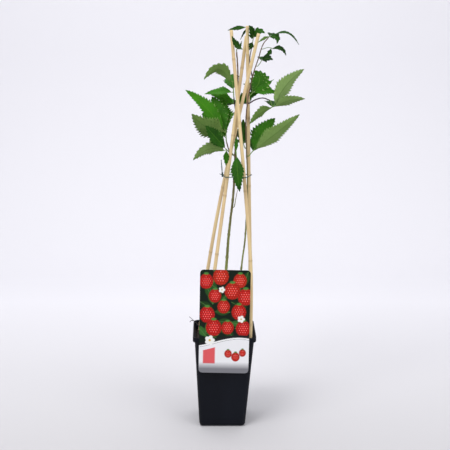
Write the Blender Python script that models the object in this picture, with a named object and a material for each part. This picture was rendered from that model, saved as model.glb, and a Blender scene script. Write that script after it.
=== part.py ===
"""Potted loganberry: two fruiting stems tied to four bamboo canes in a square pot with a picture label."""

import math
import random
from collections import namedtuple

import bmesh
import bpy
from mathutils import Matrix, Vector

MM = 0.001
UP = Vector((0, 0, 1))

# Clearance between neighbouring pieces, and how far one fused shape runs into the next
GAP = 0.3
SUNK = 1.5

# Pot: a tapered square pot with a deeper rim band
POT_HEIGHT = 183.0
RIM_HALF = 60.0
RIM_BAND = 9.5
RIM_WALL = 2.0
SHOULDER_HALF = 56.2
FOOT_HALF = 44.0
POT_WALL = 1.6
FLOOR_TOP = 4.0
FOOT_RAISE = 0.8
FOOT_CHAMFER = 4.0
CORNER_TOP = 10.0
CORNER_FOOT = 7.0
PAD_RADIUS = 12.0
FOOT_RADIUS = 4.0
FOOT_SPACING = 27.0
DRAIN_RADIUS = 4.5
DRAIN_SPACING = 15.0

# The pot stands a little out of square: its rim leans to the right and its far side lags
RIM_SHIFT = 3.8
FAR_LAG = 0.02

# Soil
SOIL_TOP = 170.0
SOIL_EDGE_DROP = 3.0
SEAT_GAP = 0.36

# Picture label
CARD_WIDTH = 94.0
CARD_HEIGHT = 200.0
CARD_THICK = 0.8
CARD_CORNER = 6.8
CARD_BOTTOM = 115.0
CARD_CENTRE_X = 4.6
CARD_BACK_Y = -60.4
CARD_LEAN = 1.2
HOOK_WIDTH = 24.0
HOOK_THICK = 0.9
HOOK_DROP = 7.5

# Bamboo canes
CANE_FOOT_RADIUS = 3.5
CANE_TOP_RADIUS = 3.0
CANE_SIDES = 8
CANE_JOINTS = 5
JOINT_SWELL = 1.12
JOINT_HALF = 2.6

# Wire tie round the canes
TIE_HEIGHT = 482.0
TIE_RADIUS = 0.8
TIE_SIDES = 6
TIE_TURN_STEPS = 4
TIE_TAIL_HEIGHT = 29.0

# Leaf blades: thickness over length, the number of stations along a blade, and the depth of the teeth
BLADE_THICK = 0.013
BLADE_STATIONS = 9
SMALL_BLADE = 24.0
SMALL_STATIONS = 5
TOOTH = 0.10
WIDEST_AT = 0.38
STALK_RADIUS = 1.0
STALK_SIDES = 5

Limb = namedtuple("Limb", "path radii")
Leaflet = namedtuple("Leaflet", "joint reach width face bow", defaults=((0, 0, 0),))


def clear_scene():
    """Remove everything that the scene holds at the start."""
    for item in list(bpy.data.objects):
        bpy.data.objects.remove(item, do_unlink=True)


def finish(name, colour, roughness, metallic=0.0):
    """A plain material with one colour."""
    material = bpy.data.materials.new(name)
    material.use_nodes = True
    shader = material.node_tree.nodes["Principled BSDF"]
    shader.inputs["Base Color"].default_value = (*colour, 1.0)
    shader.inputs["Roughness"].default_value = roughness
    shader.inputs["Metallic"].default_value = metallic
    material.diffuse_color = (*colour, 1.0)
    return material


def add_object(name, shape, material, smooth=False):
    """Turn a bmesh in millimetres into a named object in metres."""
    bmesh.ops.recalc_face_normals(shape, faces=shape.faces)
    bmesh.ops.scale(shape, vec=(MM, MM, MM), verts=shape.verts)
    mesh = bpy.data.meshes.new(name)
    shape.to_mesh(mesh)
    shape.free()
    for face in mesh.polygons:
        face.use_smooth = smooth
    mesh.materials.append(material)
    item = bpy.data.objects.new(name, mesh)
    bpy.context.scene.collection.objects.link(item)
    return item


def loft(rings, closed=False):
    """Skin a run of equal rings of points, with flat ends unless the run closes on itself."""
    shape = bmesh.new()
    loops = [[shape.verts.new(point) for point in ring] for ring in rings]
    pairs = list(zip(loops, loops[1:]))
    if closed:
        pairs.append((loops[-1], loops[0]))
    for below, above in pairs:
        count = len(below)
        for i in range(count):
            j = (i + 1) % count
            shape.faces.new((below[i], below[j], above[j], above[i]))
    if not closed:
        shape.faces.new(loops[0][::-1])
        shape.faces.new(loops[-1])
    return shape


def keep_largest_shell(mesh):
    """Fill the hollows that fusing seals and drop loose scrap: only the largest shell stays."""
    shape = bmesh.new()
    shape.from_mesh(mesh)
    waiting = set(shape.verts)
    shells = []
    while waiting:
        shell = [waiting.pop()]
        for vertex in shell:
            for edge in vertex.link_edges:
                other = edge.other_vert(vertex)
                if other in waiting:
                    waiting.remove(other)
                    shell.append(other)
        shells.append(shell)
    shells.sort(key=len)
    for shell in shells[:-1]:
        bmesh.ops.delete(shape, geom=shell, context="VERTS")
    shape.to_mesh(mesh)
    shape.free()


def boolean(item, operation, others):
    """Apply one Boolean with a collection of shapes, then remove the shapes."""
    group = bpy.data.collections.new(item.name + "_shapes")
    bpy.context.scene.collection.children.link(group)
    for other in others:
        bpy.context.scene.collection.objects.unlink(other)
        group.objects.link(other)
    step = item.modifiers.new(operation.title(), "BOOLEAN")
    step.operation = operation
    step.operand_type = "COLLECTION"
    step.collection = group
    step.solver = "EXACT"
    graph = bpy.context.evaluated_depsgraph_get()
    joined = bpy.data.meshes.new_from_object(item.evaluated_get(graph))
    keep_largest_shell(joined)
    item.modifiers.clear()
    item.data = joined
    for other in others:
        bpy.data.objects.remove(other, do_unlink=True)
    bpy.data.collections.remove(group)


# Pot, soil and label


def settle(point):
    """Move a point of the square, upright pot to where the leaning pot holds it."""
    height = point.z / POT_HEIGHT
    return Vector((point.x + (RIM_SHIFT - FAR_LAG * point.y) * height, point.y, point.z))


def square_ring(half, corner, height, steps=4):
    """A square with rounded corners at one height, counter-clockwise."""
    points = []
    for turn, (sx, sy) in enumerate(((1, 1), (-1, 1), (-1, -1), (1, -1))):
        centre = Vector((sx * (half - corner), sy * (half - corner), height))
        for step in range(steps + 1):
            angle = math.radians(90 * turn + 90 * step / steps)
            points.append(settle(centre + corner * Vector((math.cos(angle), math.sin(angle), 0))))
    return points


def body_half(height):
    """Half the width of the pot's outer body at a height."""
    return FOOT_HALF + (SHOULDER_HALF - FOOT_HALF) * height / (POT_HEIGHT - RIM_BAND)


def body_corner(height):
    """Corner radius of the pot's outer body at a height."""
    return CORNER_FOOT + (CORNER_TOP - CORNER_FOOT) * height / POT_HEIGHT


def disc(name, x, y, radius, low, high, material, sides=16):
    """A short upright cylinder."""
    rings = []
    for height in (low, high):
        turns = [2 * math.pi * i / sides for i in range(sides)]
        rings.append([Vector((x + radius * math.cos(t), y + radius * math.sin(t), height)) for t in turns])
    return add_object(name, loft(rings), material)


def make_pot(material):
    """The pot: outer wall up to the rim, over it and down the inner wall, with feet and drain holes."""
    band = POT_HEIGHT - RIM_BAND
    inner = body_half(band) - POT_WALL
    rings = [
        square_ring(FOOT_HALF - FOOT_CHAMFER, CORNER_FOOT - 3, FOOT_RAISE),
        square_ring(body_half(FOOT_CHAMFER), CORNER_FOOT, FOOT_RAISE + FOOT_CHAMFER),
        square_ring(body_half(band), CORNER_TOP, band - 1.5),
        square_ring(RIM_HALF - 0.4, CORNER_TOP, band),
        square_ring(RIM_HALF, CORNER_TOP, POT_HEIGHT - 0.8),
        square_ring(RIM_HALF - 0.8, CORNER_TOP - 0.8, POT_HEIGHT),
        square_ring(RIM_HALF - RIM_WALL, CORNER_TOP - RIM_WALL, POT_HEIGHT),
        square_ring(RIM_HALF - RIM_WALL - 0.6, CORNER_TOP - RIM_WALL, band + 1.5),
        square_ring(inner, CORNER_TOP - POT_WALL, band - 1.5),
        square_ring(body_half(FLOOR_TOP) - POT_WALL, CORNER_FOOT - POT_WALL, FLOOR_TOP),
    ]
    pot = add_object("pot", loft(rings), material)
    feet = [disc("foot", 0, 0, PAD_RADIUS, 0, FLOOR_TOP - 1, material)]
    drains = []
    for sx in (-1, 1):
        for sy in (-1, 1):
            foot = (sx * FOOT_SPACING, sy * FOOT_SPACING)
            feet.append(disc("foot", *foot, FOOT_RADIUS, 0, FLOOR_TOP - 1, material, 10))
    for x, y in ((DRAIN_SPACING, 0), (-DRAIN_SPACING, 0), (0, DRAIN_SPACING), (0, -DRAIN_SPACING)):
        drains.append(disc("drain", 1.8 * x, 1.8 * y, DRAIN_RADIUS, -1, FLOOR_TOP + 1, material, 12))
    boolean(pot, "UNION", feet)
    boolean(pot, "DIFFERENCE", drains)
    return pot


def make_soil(material, canes):
    """The soil: a block that fills the pot, with a blind seat for each cane."""
    low = FLOOR_TOP + GAP
    edge = SOIL_TOP - SOIL_EDGE_DROP
    inset = POT_WALL + GAP
    rings = [
        square_ring(body_half(low) - inset, CORNER_FOOT - inset, low),
        square_ring(body_half(edge) - inset, body_corner(edge) - inset, edge),
        square_ring(body_half(edge) - inset - 4, body_corner(edge) - inset, SOIL_TOP),
    ]
    soil = add_object("soil", loft(rings), material)
    seats = []
    for cane in canes:
        foot = cane.path[0] + (cane.path[0] - cane.path[1]).normalized() * GAP
        wide = [radius + SEAT_GAP for radius in cane.radii]
        seats.append(tube("seat", Limb([foot, *cane.path[1:]], wide), material, CANE_SIDES, flat_foot=True))
    boolean(soil, "DIFFERENCE", seats)
    return soil


def slab(name, x, y, z, material):
    """A box between two limits on each axis."""
    corners = [(x[0], y[0]), (x[1], y[0]), (x[1], y[1]), (x[0], y[1])]
    rings = [[Vector((cx, cy, height)) for cx, cy in corners] for height in z]
    return add_object(name, loft(rings), material)


def make_label(material):
    """The picture label: a card with rounded corners that hangs by a hook over the pot's near wall."""
    across = CARD_WIDTH / 2 - CARD_CORNER
    rise = CARD_HEIGHT / 2 - CARD_CORNER
    outline = []
    for turn, (sx, sz) in enumerate(((1, 1), (-1, 1), (-1, -1), (1, -1))):
        for step in range(7):
            angle = math.radians(90 * turn + 15 * step)
            outline.append((sx * across + CARD_CORNER * math.cos(angle), sz * rise + CARD_CORNER * math.sin(angle)))
    lean = Matrix.Rotation(math.radians(CARD_LEAN), 3, "Y")
    centre = Vector((CARD_CENTRE_X, 0, CARD_BOTTOM + CARD_HEIGHT / 2))
    rings = []
    for y in (CARD_BACK_Y, CARD_BACK_Y - CARD_THICK):
        rings.append([centre + lean @ Vector((x, 0, z)) + Vector((0, y, 0)) for x, z in outline])
    label = add_object("label_card", loft(rings), material)
    sides = (CARD_CENTRE_X - HOOK_WIDTH / 2, CARD_CENTRE_X + HOOK_WIDTH / 2)
    seat = POT_HEIGHT + GAP
    inner = GAP + HOOK_THICK - RIM_HALF + RIM_WALL + 0.6
    over = slab("hook", sides, (CARD_BACK_Y - CARD_THICK / 2, inner), (seat, seat + HOOK_THICK), material)
    down = slab("hook", sides, (inner - HOOK_THICK, inner), (seat - HOOK_DROP, seat + HOOK_THICK / 2), material)
    boolean(label, "UNION", [over, down])
    return label


# Limbs


def smooth_path(points, spacing=22.0):
    """A smooth line through named points, with more stations where they lie far apart."""
    points = [Vector(point) for point in points]
    padded = [2 * points[0] - points[1], *points, 2 * points[-1] - points[-2]]
    path = []
    for before, start, end, after in zip(padded, padded[1:], padded[2:], padded[3:]):
        steps = max(1, round((end - start).length / spacing))
        for step in range(steps):
            t = step / steps
            bend = (2 * before - 5 * start + 4 * end - after) * t * t
            twist = (3 * start - before - 3 * end + after) * t * t * t
            path.append(0.5 * (2 * start + (end - before) * t + bend + twist))
    return [*path, points[-1]]


def tapered(points, first, last, spacing=22.0, flare=0.0):
    """A limb through named points whose radius falls evenly, with a flare at its foot."""
    path = smooth_path(points, spacing)
    lengths = [0.0]
    for start, end in zip(path, path[1:]):
        lengths.append(lengths[-1] + (end - start).length)
    radii = [first + (last - first) * length / lengths[-1] for length in lengths]
    if flare:
        path.insert(1, path[0].lerp(path[1], 0.35))
        radii.insert(1, radii[0])
        radii[0] += flare
    return Limb(path, radii)


def frames(path):
    """Two directions across the path at each of its points, turned as little as possible."""
    ways = []
    for i in range(len(path)):
        ways.append((path[min(i + 1, len(path) - 1)] - path[max(i - 1, 0)]).normalized())
    side = ways[0].orthogonal().normalized()
    found = []
    for way in ways:
        side = (side - side.dot(way) * way).normalized()
        found.append((side, way.cross(side)))
    return found


def tube(name, limb, material, sides, smooth=True, flat_foot=False):
    """A round limb along a path, cut off level at its foot where it stands on the soil."""
    rings = []
    for point, radius, (side, across) in zip(limb.path, limb.radii, frames(limb.path)):
        turns = [2 * math.pi * i / sides for i in range(sides)]
        rings.append([point + radius * (math.cos(t) * side + math.sin(t) * across) for t in turns])
    if flat_foot:
        for point in rings[0]:
            point.z = limb.path[0].z
    return add_object(name, loft(rings), material, smooth)


def after(limb):
    """The point just past a limb's tip, and one further on in the same direction."""
    way = (limb.path[-1] - limb.path[-2]).normalized()
    start = limb.path[-1] + GAP * way
    return [start, start + 2 * way]


def beside(limb, height, toward):
    """The point just outside a limb's side at a height, and one further out."""
    i = min(range(len(limb.path) - 1), key=lambda k: abs((limb.path[k].z + limb.path[k + 1].z) / 2 - height))
    low, high = limb.path[i], limb.path[i + 1]
    way = (high - low).normalized()
    centre = low + (high - low) * (height - low.z) / (high.z - low.z)
    toward = Vector(toward)
    toward = (toward - toward.dot(way) * way).normalized()
    start = centre + (max(limb.radii[i], limb.radii[i + 1]) + GAP) * toward
    return [start, start + 2 * toward]


def cane_limb(points):
    """A bamboo cane through named points: an even taper with a raised ring at each joint."""
    plain = tapered(points, CANE_FOOT_RADIUS, CANE_TOP_RADIUS, 90.0)
    low, high = plain.path[0].z, plain.path[-1].z
    path, radii = list(plain.path), list(plain.radii)
    for joint in range(1, CANE_JOINTS + 1):
        height = low + (high - low) * (joint - 0.45) / CANE_JOINTS + 9 * math.sin(5 * joint + points[0][0])
        for offset, swell in ((-JOINT_HALF, 1.0), (0, JOINT_SWELL), (JOINT_HALF, 1.0)):
            i = next(k for k in range(1, len(path)) if path[k].z > height + offset)
            t = (height + offset - path[i - 1].z) / (path[i].z - path[i - 1].z)
            path.insert(i, path[i - 1].lerp(path[i], t))
            radii.insert(i, (radii[i - 1] / (JOINT_SWELL if offset > 0 else 1) * (1 - t) + radii[i] * t) * swell)
    return Limb(path, radii)


def at_height(limb, height):
    """Where a limb passes a height."""
    for low, high in zip(limb.path, limb.path[1:]):
        if low.z <= height <= high.z:
            return low.lerp(high, (height - low.z) / (high.z - low.z))
    return limb.path[-1].copy()


def make_tie(canes, material):
    """The wire tie: one loop drawn round the four canes, with its ends twisted up at the left."""
    corners = [at_height(cane, TIE_HEIGHT) for cane in canes]
    middle = sum(corners, Vector()) / len(corners)
    corners.sort(key=lambda point: math.atan2(point.y - middle.y, point.x - middle.x))
    reach = CANE_FOOT_RADIUS * JOINT_SWELL + GAP + TIE_RADIUS
    path = []
    for before, corner, following in zip([corners[-1], *corners], corners, [*corners[1:], corners[0]]):
        arrive = (corner - before).normalized().cross(UP)
        leave = (following - corner).normalized().cross(UP)
        for step in range(TIE_TURN_STEPS + 1):
            path.append(corner + reach * arrive.slerp(leave, step / TIE_TURN_STEPS))
    rings = []
    for i, point in enumerate(path):
        way = (path[(i + 1) % len(path)] - path[i - 1]).normalized()
        turns = [2 * math.pi * k / TIE_SIDES for k in range(TIE_SIDES)]
        rings.append([point + TIE_RADIUS * (math.cos(t) * UP + math.sin(t) * way.cross(UP)) for t in turns])
    tie = add_object("tie_wire", loft(rings, closed=True), material, True)
    left = Vector(min(zip(path[1:], path), key=lambda ends: (ends[0] + ends[1]).x - (ends[0] - ends[1]).length)[0])
    left = left.lerp(path[path.index(left) - 1], 0.4) + Vector((-TIE_RADIUS, 0, 0))
    knot = tapered([left + Vector((0, 0, -3.5)), left + Vector((0, 0, 5))], 1.6, 1.5, 4)
    tail = tapered([left, left + Vector((-1, -1, 14)), left + Vector((-2.2, -2, TIE_TAIL_HEIGHT))], 0.9, 0.7, 8)
    tip = tapered([left, left + Vector((-5.5, -3, 2.5))], 0.8, 0.6, 6)
    boolean(tie, "UNION", [tube("knot", piece, material, TIE_SIDES) for piece in (knot, tail, tip)])
    return tie


# Leaves


def blade_rings(leaflet, rng):
    """Cross-sections of one leaf blade from its root to near its tip, and the tip itself."""
    joint, reach, bow = Vector(leaflet.joint), Vector(leaflet.reach), Vector(leaflet.bow)
    face = Vector(leaflet.face)
    length = reach.length
    stations = BLADE_STATIONS if length > SMALL_BLADE else SMALL_STATIONS
    start = joint + 0.1 * reach
    thick = max(BLADE_THICK * length, 0.5)
    rings = []
    for station in range(stations):
        t = (0.02 + station) / stations
        centre = start + t * 0.9 * reach + 4 * t * (1 - t) * bow
        way = (0.9 * reach + 4 * (1 - 2 * t) * bow).normalized()
        across = way.cross(face).normalized()
        out = across.cross(way)
        swell = (t / WIDEST_AT) ** 0.6 if t < WIDEST_AT else ((1 - t) / (1 - WIDEST_AT)) ** 0.85
        half = leaflet.width / 2 * swell * (1 + TOOTH * (0.5 - rng.random()) + (TOOTH if station % 2 else -TOOTH) / 2)
        half = max(half, thick * 0.7)
        lift = 0.22 * half
        core = thick / 2 * (1 - 0.5 * t)
        rings.append(
            [
                centre + half * across + lift * out,
                centre + core * out,
                centre - half * across + lift * out,
                centre - core * out,
            ]
        )
    return rings, start + 0.9 * reach


def blade(leaflet, material, rng):
    """One leaf blade: a shallow trough with toothed edges that ends in a point."""
    rings, tip = blade_rings(leaflet, rng)
    shape = bmesh.new()
    loops = [[shape.verts.new(point) for point in ring] for ring in rings]
    for below, above in zip(loops, loops[1:]):
        for i in range(4):
            j = (i + 1) % 4
            shape.faces.new((below[i], below[j], above[j], above[i]))
    shape.faces.new(loops[0][::-1])
    end = shape.verts.new(tip)
    for i in range(4):
        shape.faces.new((loops[-1][i], loops[-1][(i + 1) % 4], end))
    bmesh.ops.triangulate(shape, faces=shape.faces)
    return add_object("blade", shape, material)


def small_stalk(leaflet, material):
    """The short stalk that carries a blade, sunk into the joint and into the blade's root."""
    joint, reach = Vector(leaflet.joint), Vector(leaflet.reach)
    way = reach.normalized()
    bow = 4 * 0.06 * Vector(leaflet.bow)
    thin = STALK_RADIUS * (0.9 if reach.length > SMALL_BLADE else 0.7)
    path = [joint - SUNK * way, joint + 0.1 * reach, joint + 0.16 * reach + bow]
    return tube("stalk", Limb(path, [thin, thin, thin * 0.6]), material, STALK_SIDES, False)


def make_foliage(name, stem, leaflets, material, seed):
    """One mass of leaves: a stem with its side stalks and every blade, joined into one solid."""
    rng = random.Random(seed)
    pieces = []
    for leaflet in leaflets:
        pieces.append(small_stalk(leaflet, material))
        pieces.append(blade(leaflet, material, rng))
    mass = tube(name, stem, material, STALK_SIDES, False)
    boolean(mass, "UNION", pieces)
    mass.data.name = name
    return mass


def spread_leaflets(joint, aim, face, length, width, pairs, rng):
    """The leaflets of one compound leaf: one at its end and pairs beside it, by one seeded rule."""
    joint, aim, face = Vector(joint), Vector(aim).normalized(), Vector(face).normalized()
    side = aim.cross(face).normalized()
    leaflets = [Leaflet(joint, aim * length, width, face, -0.10 * length * UP)]
    for pair in range(pairs):
        open_by = math.radians(58 + 30 * pair)
        for sign in (-1, 1):
            turned = math.cos(open_by) * aim + sign * math.sin(open_by) * side
            size = length * (0.86 - 0.16 * pair) * (0.92 + 0.16 * rng.random())
            droop = -0.08 * size * UP
            leaflets.append(Leaflet(joint, turned * size, width * (0.8 - 0.12 * pair), face, droop))
    return leaflets


def main():
    """Build every piece of the plant and its pot."""
    clear_scene()
    pot_plastic = finish("pot_plastic", (0.013, 0.015, 0.021), 0.42)
    compost = finish("compost", (0.020, 0.014, 0.010), 0.95)
    card = finish("printed_card", (0.20, 0.055, 0.045), 0.30)
    bamboo = finish("bamboo", (0.78, 0.60, 0.38), 0.55)
    wire = finish("coated_wire", (0.03, 0.07, 0.07), 0.45)
    bark = finish("green_brown_bark", (0.16, 0.15, 0.05), 0.65)
    shoot = finish("purple_shoot", (0.045, 0.022, 0.028), 0.6)
    dry = finish("dry_twig", (0.035, 0.028, 0.024), 0.9)
    leaf_dark = finish("leaf_upper_side", (0.035, 0.14, 0.012), 0.45)
    leaf_pale = finish("leaf_under_side", (0.20, 0.33, 0.10), 0.6)
    leaf_young = finish("leaf_young", (0.03, 0.10, 0.02), 0.5)

    make_pot(pot_plastic)
    make_label(card)

    # Canes, from foot to top
    cane_lines = {
        "cane_back_left": [(-44.4, 45.2, 145.3), (-43.6, 44.5, 174), (-27.6, 30, 297), (6.4, 14, 482), (66.6, -13, 744)],
        "cane_front_left": [(-34, -48, 145.3), (-30.6, -45, 178), (-13.2, -32, 312), (10.1, -13, 482), (44.9, 14, 740)],
        "cane_front_right": [(50.6, -45.5, 145.3), (53.6, -45, 176), (54.1, -32, 312), (41.3, -19, 482), (16.9, -8, 750)],
        "cane_back_right": [(50.6, 44, 145.3), (53.4, 42, 174), (54.6, 30, 297), (51.1, 16, 482), (46.3, 2, 758)],
    }
    canes = {name: cane_limb(points) for name, points in cane_lines.items()}
    for name, cane in canes.items():
        tube(name, cane, bamboo, CANE_SIDES, flat_foot=True)
    make_soil(compost, canes.values())
    make_tie(canes.values(), wire)

    # Stems, from the flat cut at the soil to the tip of the shoot
    ground = SOIL_TOP + GAP
    main_line = [(-1.2, 3, ground), (8.1, 3, 304), (12.8, 2, 369), (20.2, 1, 436), (23.5, 2, 482), (25.2, 9, 531)]
    main_line += [(27.4, 13, 566), (28.8, 10.5, 605), (29.3, 9, 642), (29.2, 9, 678), (27.2, 8, 711)]
    main_stem = tapered(main_line, 3.3, 1.2, 24, flare=1.3)
    second_line = [(24, 0, ground), (36.9, 0, 304), (44.6, 0, 371), (48, 0, 474), (45.8, 0, 531), (44.6, 0, 587)]
    second_line += [(48.2, 0, 624), (55.4, 0, 664), (66.2, 0, 697), (74.4, -1, 723), (84.2, -2, 736)]
    second_stem = tapered(second_line, 2.0, 0.9, 24, flare=1.0)
    trunk = tube("stem_main", main_stem, bark, 8, flat_foot=True)
    spur = tapered([(23.0, -1, 423), (26, -4.5, 440), (29.1, -5, 456)], 0.8, 0.6)
    spur.path.insert(0, at_height(main_stem, 421))
    spur.radii.insert(0, 0.9)
    boolean(trunk, "UNION", [tube("spur", spur, bark, STALK_SIDES)])
    tube("stem_second", second_stem, bark, 7, flat_foot=True)

    # Boughs that carry the masses away from the stems
    left_bough = tapered([*beside(main_stem, 520, (-1, -0.75, 0)), (13, 0.4, 531), (8.5, 3, 546)], 1.6, 1.1, 9)
    tube("bough_left", left_bough, bark, 6)
    arch_bough = tapered([*beside(main_stem, 606, (-1, -0.3, 0)), (23.6, 7.6, 616), (22.2, 6, 628)], 1.2, 1.0, 9)
    tube("bough_left_upper", arch_bough, shoot, 6)
    right_bough = tapered(
        [*beside(second_stem, 618, (1, 0.1, 0)), (62, 4, 624), (76, 8, 627), (88, 12, 623)], 1.3, 1.0, 9
    )
    tube("bough_right", right_bough, shoot, 6)
    top_bough = tapered([*beside(second_stem, 668, (-0.5, 0.9, 0)), (51.4, 10, 697), (54.6, 7, 719)], 1.1, 0.8, 11)
    tube("bough_top", top_bough, shoot, 6)

    # A dry forked twig that leans over the far left corner of the rim
    bend = (-57, 41, 187.2)
    lean = tapered([(-40, 36, ground), (-49, 38.5, 180), bend, (-65.4, 43, 194.6)], 1.2, 0.6)
    fork = tube("dry_twig", lean, dry, 5, flat_foot=True)
    prong = tapered([bend, (-61.5, 42, 186.6), (-64.8, 42.5, 183.4)], 0.8, 0.5, 5)
    boolean(fork, "UNION", [tube("prong", prong, dry, 5)])

    # Leaves on the left: two arching ones above, a broad folded leaf, and a lower pair
    joint = (19.5, 3.5, 658)
    make_foliage(
        "leaves_left_upper",
        tapered([*after(arch_bough), (21, 4.8, 645), joint], STALK_RADIUS, STALK_RADIUS * 0.8, 10),
        [
            Leaflet(joint, (-52, -22, 4), 30, (0, 0.7, 0.7), (2, 0, 20)),
            Leaflet((21.6, 5.4, 638), (-54, 30, -5), 26, (0, -0.6, 0.8), (0, 0, 2)),
            Leaflet((21.3, 5, 642), (-6, 52, 26), 30, (-0.3, -0.5, 0.8), (0, 0, 5)),
        ],
        leaf_pale,
        1,
    )
    joint = (7.5, 6, 562)
    make_foliage(
        "leaves_left_middle",
        tapered([*after(left_bough), joint], STALK_RADIUS * 1.1, STALK_RADIUS, 10),
        [
            Leaflet(joint, (-74, -20, 80), 36, (0.25, -0.8, 0.6), (4, 0, 4)),
            Leaflet(joint, (-62, -42, 38), 50, (0.1, 0.9, 0.35), (0, -2, -9)),
            Leaflet(joint, (-1, 30, 60), 50, (-0.1, -0.95, 0.3), (-8, 4, 2)),
            Leaflet((8, 4.6, 553), (-38, 58, 22), 42, (0.2, -0.5, 0.85), (0, 0, 4)),
        ],
        leaf_dark,
        2,
    )
    joint = (8.5, -13, 533)
    make_foliage(
        "leaves_left_lower",
        tapered([*beside(left_bough, 529, (-0.5, -0.85, 0)), joint], STALK_RADIUS, STALK_RADIUS * 0.9, 8),
        [
            Leaflet(joint, (-38, -27, 46), 30, (0.1, -0.9, 0.45), (-3, -3, 3)),
            Leaflet(joint, (-61, -20, -17), 34, (0, 0.8, 0.6), (0, 0, 11)),
            Leaflet(joint, (-1, 2, -30), 12, (-0.2, -0.9, 0.1)),
        ],
        leaf_pale,
        3,
    )

    # The leaf that hangs in front of the tie
    joint = (26.5, -27, 527)
    make_foliage(
        "leaves_centre",
        tapered([*beside(main_stem, 524, (0.1, -1, 0)), (26, -16, 531), joint], STALK_RADIUS, STALK_RADIUS * 0.9, 9),
        [
            Leaflet(joint, (6, -16, -68), 25, (0, -0.95, 0.3), (-1, -4, 0)),
            Leaflet((26.3, -22, 530), (0, 9, 27), 8, (0, -0.95, 0.3)),
        ],
        leaf_dark,
        4,
    )

    # Leaves on the right: a rounded one behind the canes, a spreading leaf, and a long low one
    joint = (56.5, 15, 637)
    make_foliage(
        "leaves_right_upper",
        tapered([*beside(second_stem, 633, (1, 0.2, 0)), (56, 6, 636), joint], STALK_RADIUS, STALK_RADIUS, 9),
        [
            Leaflet(joint, (5, 26, 39), 46, (0.1, -0.95, 0.3), (11, 2, 0)),
            Leaflet(joint, (41, 20, 23), 7, (0, -0.8, 0.6)),
            Leaflet(joint, (46, 10, -2), 22, (0, -0.8, 0.6), (0, 0, 4)),
            Leaflet(joint, (10, 62, 14), 38, (-0.2, -0.5, 0.85), (0, 0, 6)),
        ],
        leaf_dark,
        5,
    )
    joint = (94.4, 16, 610)
    make_foliage(
        "leaves_right_middle",
        tapered([*after(right_bough), joint], STALK_RADIUS, STALK_RADIUS, 8),
        [
            Leaflet(joint, (59, 14, 69), 36, (-0.3, 0.85, 0.35), (-5, 0, 4)),
            Leaflet(joint, (58, -24, 16), 24, (0, 0.8, 0.55), (0, 0, 4)),
            Leaflet(joint, (-43, -22, -30), 26, (0, 0.75, 0.65), (0, 0, 5)),
            Leaflet(joint, (-36, 26, -18), 12, (0.1, -0.7, 0.7), (0, 0, 1)),
            Leaflet(joint, (14, 56, 4), 40, (-0.2, -0.4, 0.9), (0, 0, 6)),
        ],
        leaf_pale,
        6,
    )
    joint = (56.5, 3, 527)
    make_foliage(
        "leaves_right_lower",
        tapered([*beside(second_stem, 519, (1, 0.1, 0)), joint], STALK_RADIUS * 1.1, STALK_RADIUS, 7),
        [
            Leaflet(joint, (85, -34, 72), 34, (0.2, 0.75, 0.6), (-2, 0, -2)),
            Leaflet(joint, (44, 34, 60), 42, (-0.2, -0.9, 0.4), (-2, 4, 3)),
            Leaflet(joint, (26, 62, 20), 38, (0, -0.4, 0.9), (0, 0, 5)),
        ],
        leaf_dark,
        7,
    )

    # Leaves behind the canes
    rng = random.Random(8)
    joint = (40.5, 30, 541)
    make_foliage(
        "leaves_back_lower",
        tapered([*beside(second_stem, 534, (-0.6, 0.8, 0)), (42, 12, 536), joint], STALK_RADIUS, STALK_RADIUS, 9),
        spread_leaflets(joint, (0, 0.55, 0.9), (0, -0.9, 0.45), 50, 30, 0, rng)
        + spread_leaflets(joint, (-0.05, 1, 0.1), (0, -0.1, 1), 56, 34, 0, rng),
        leaf_dark,
        8,
    )
    joint = (24, 40, 614)
    make_foliage(
        "leaves_back_left",
        tapered([*beside(main_stem, 596, (-0.2, 1, 0)), (25, 26, 604), joint], STALK_RADIUS, STALK_RADIUS, 9),
        spread_leaflets(joint, (-0.25, 0.9, 0.2), (0, -0.35, 0.9), 52, 32, 1, rng),
        leaf_dark,
        9,
    )

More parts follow.
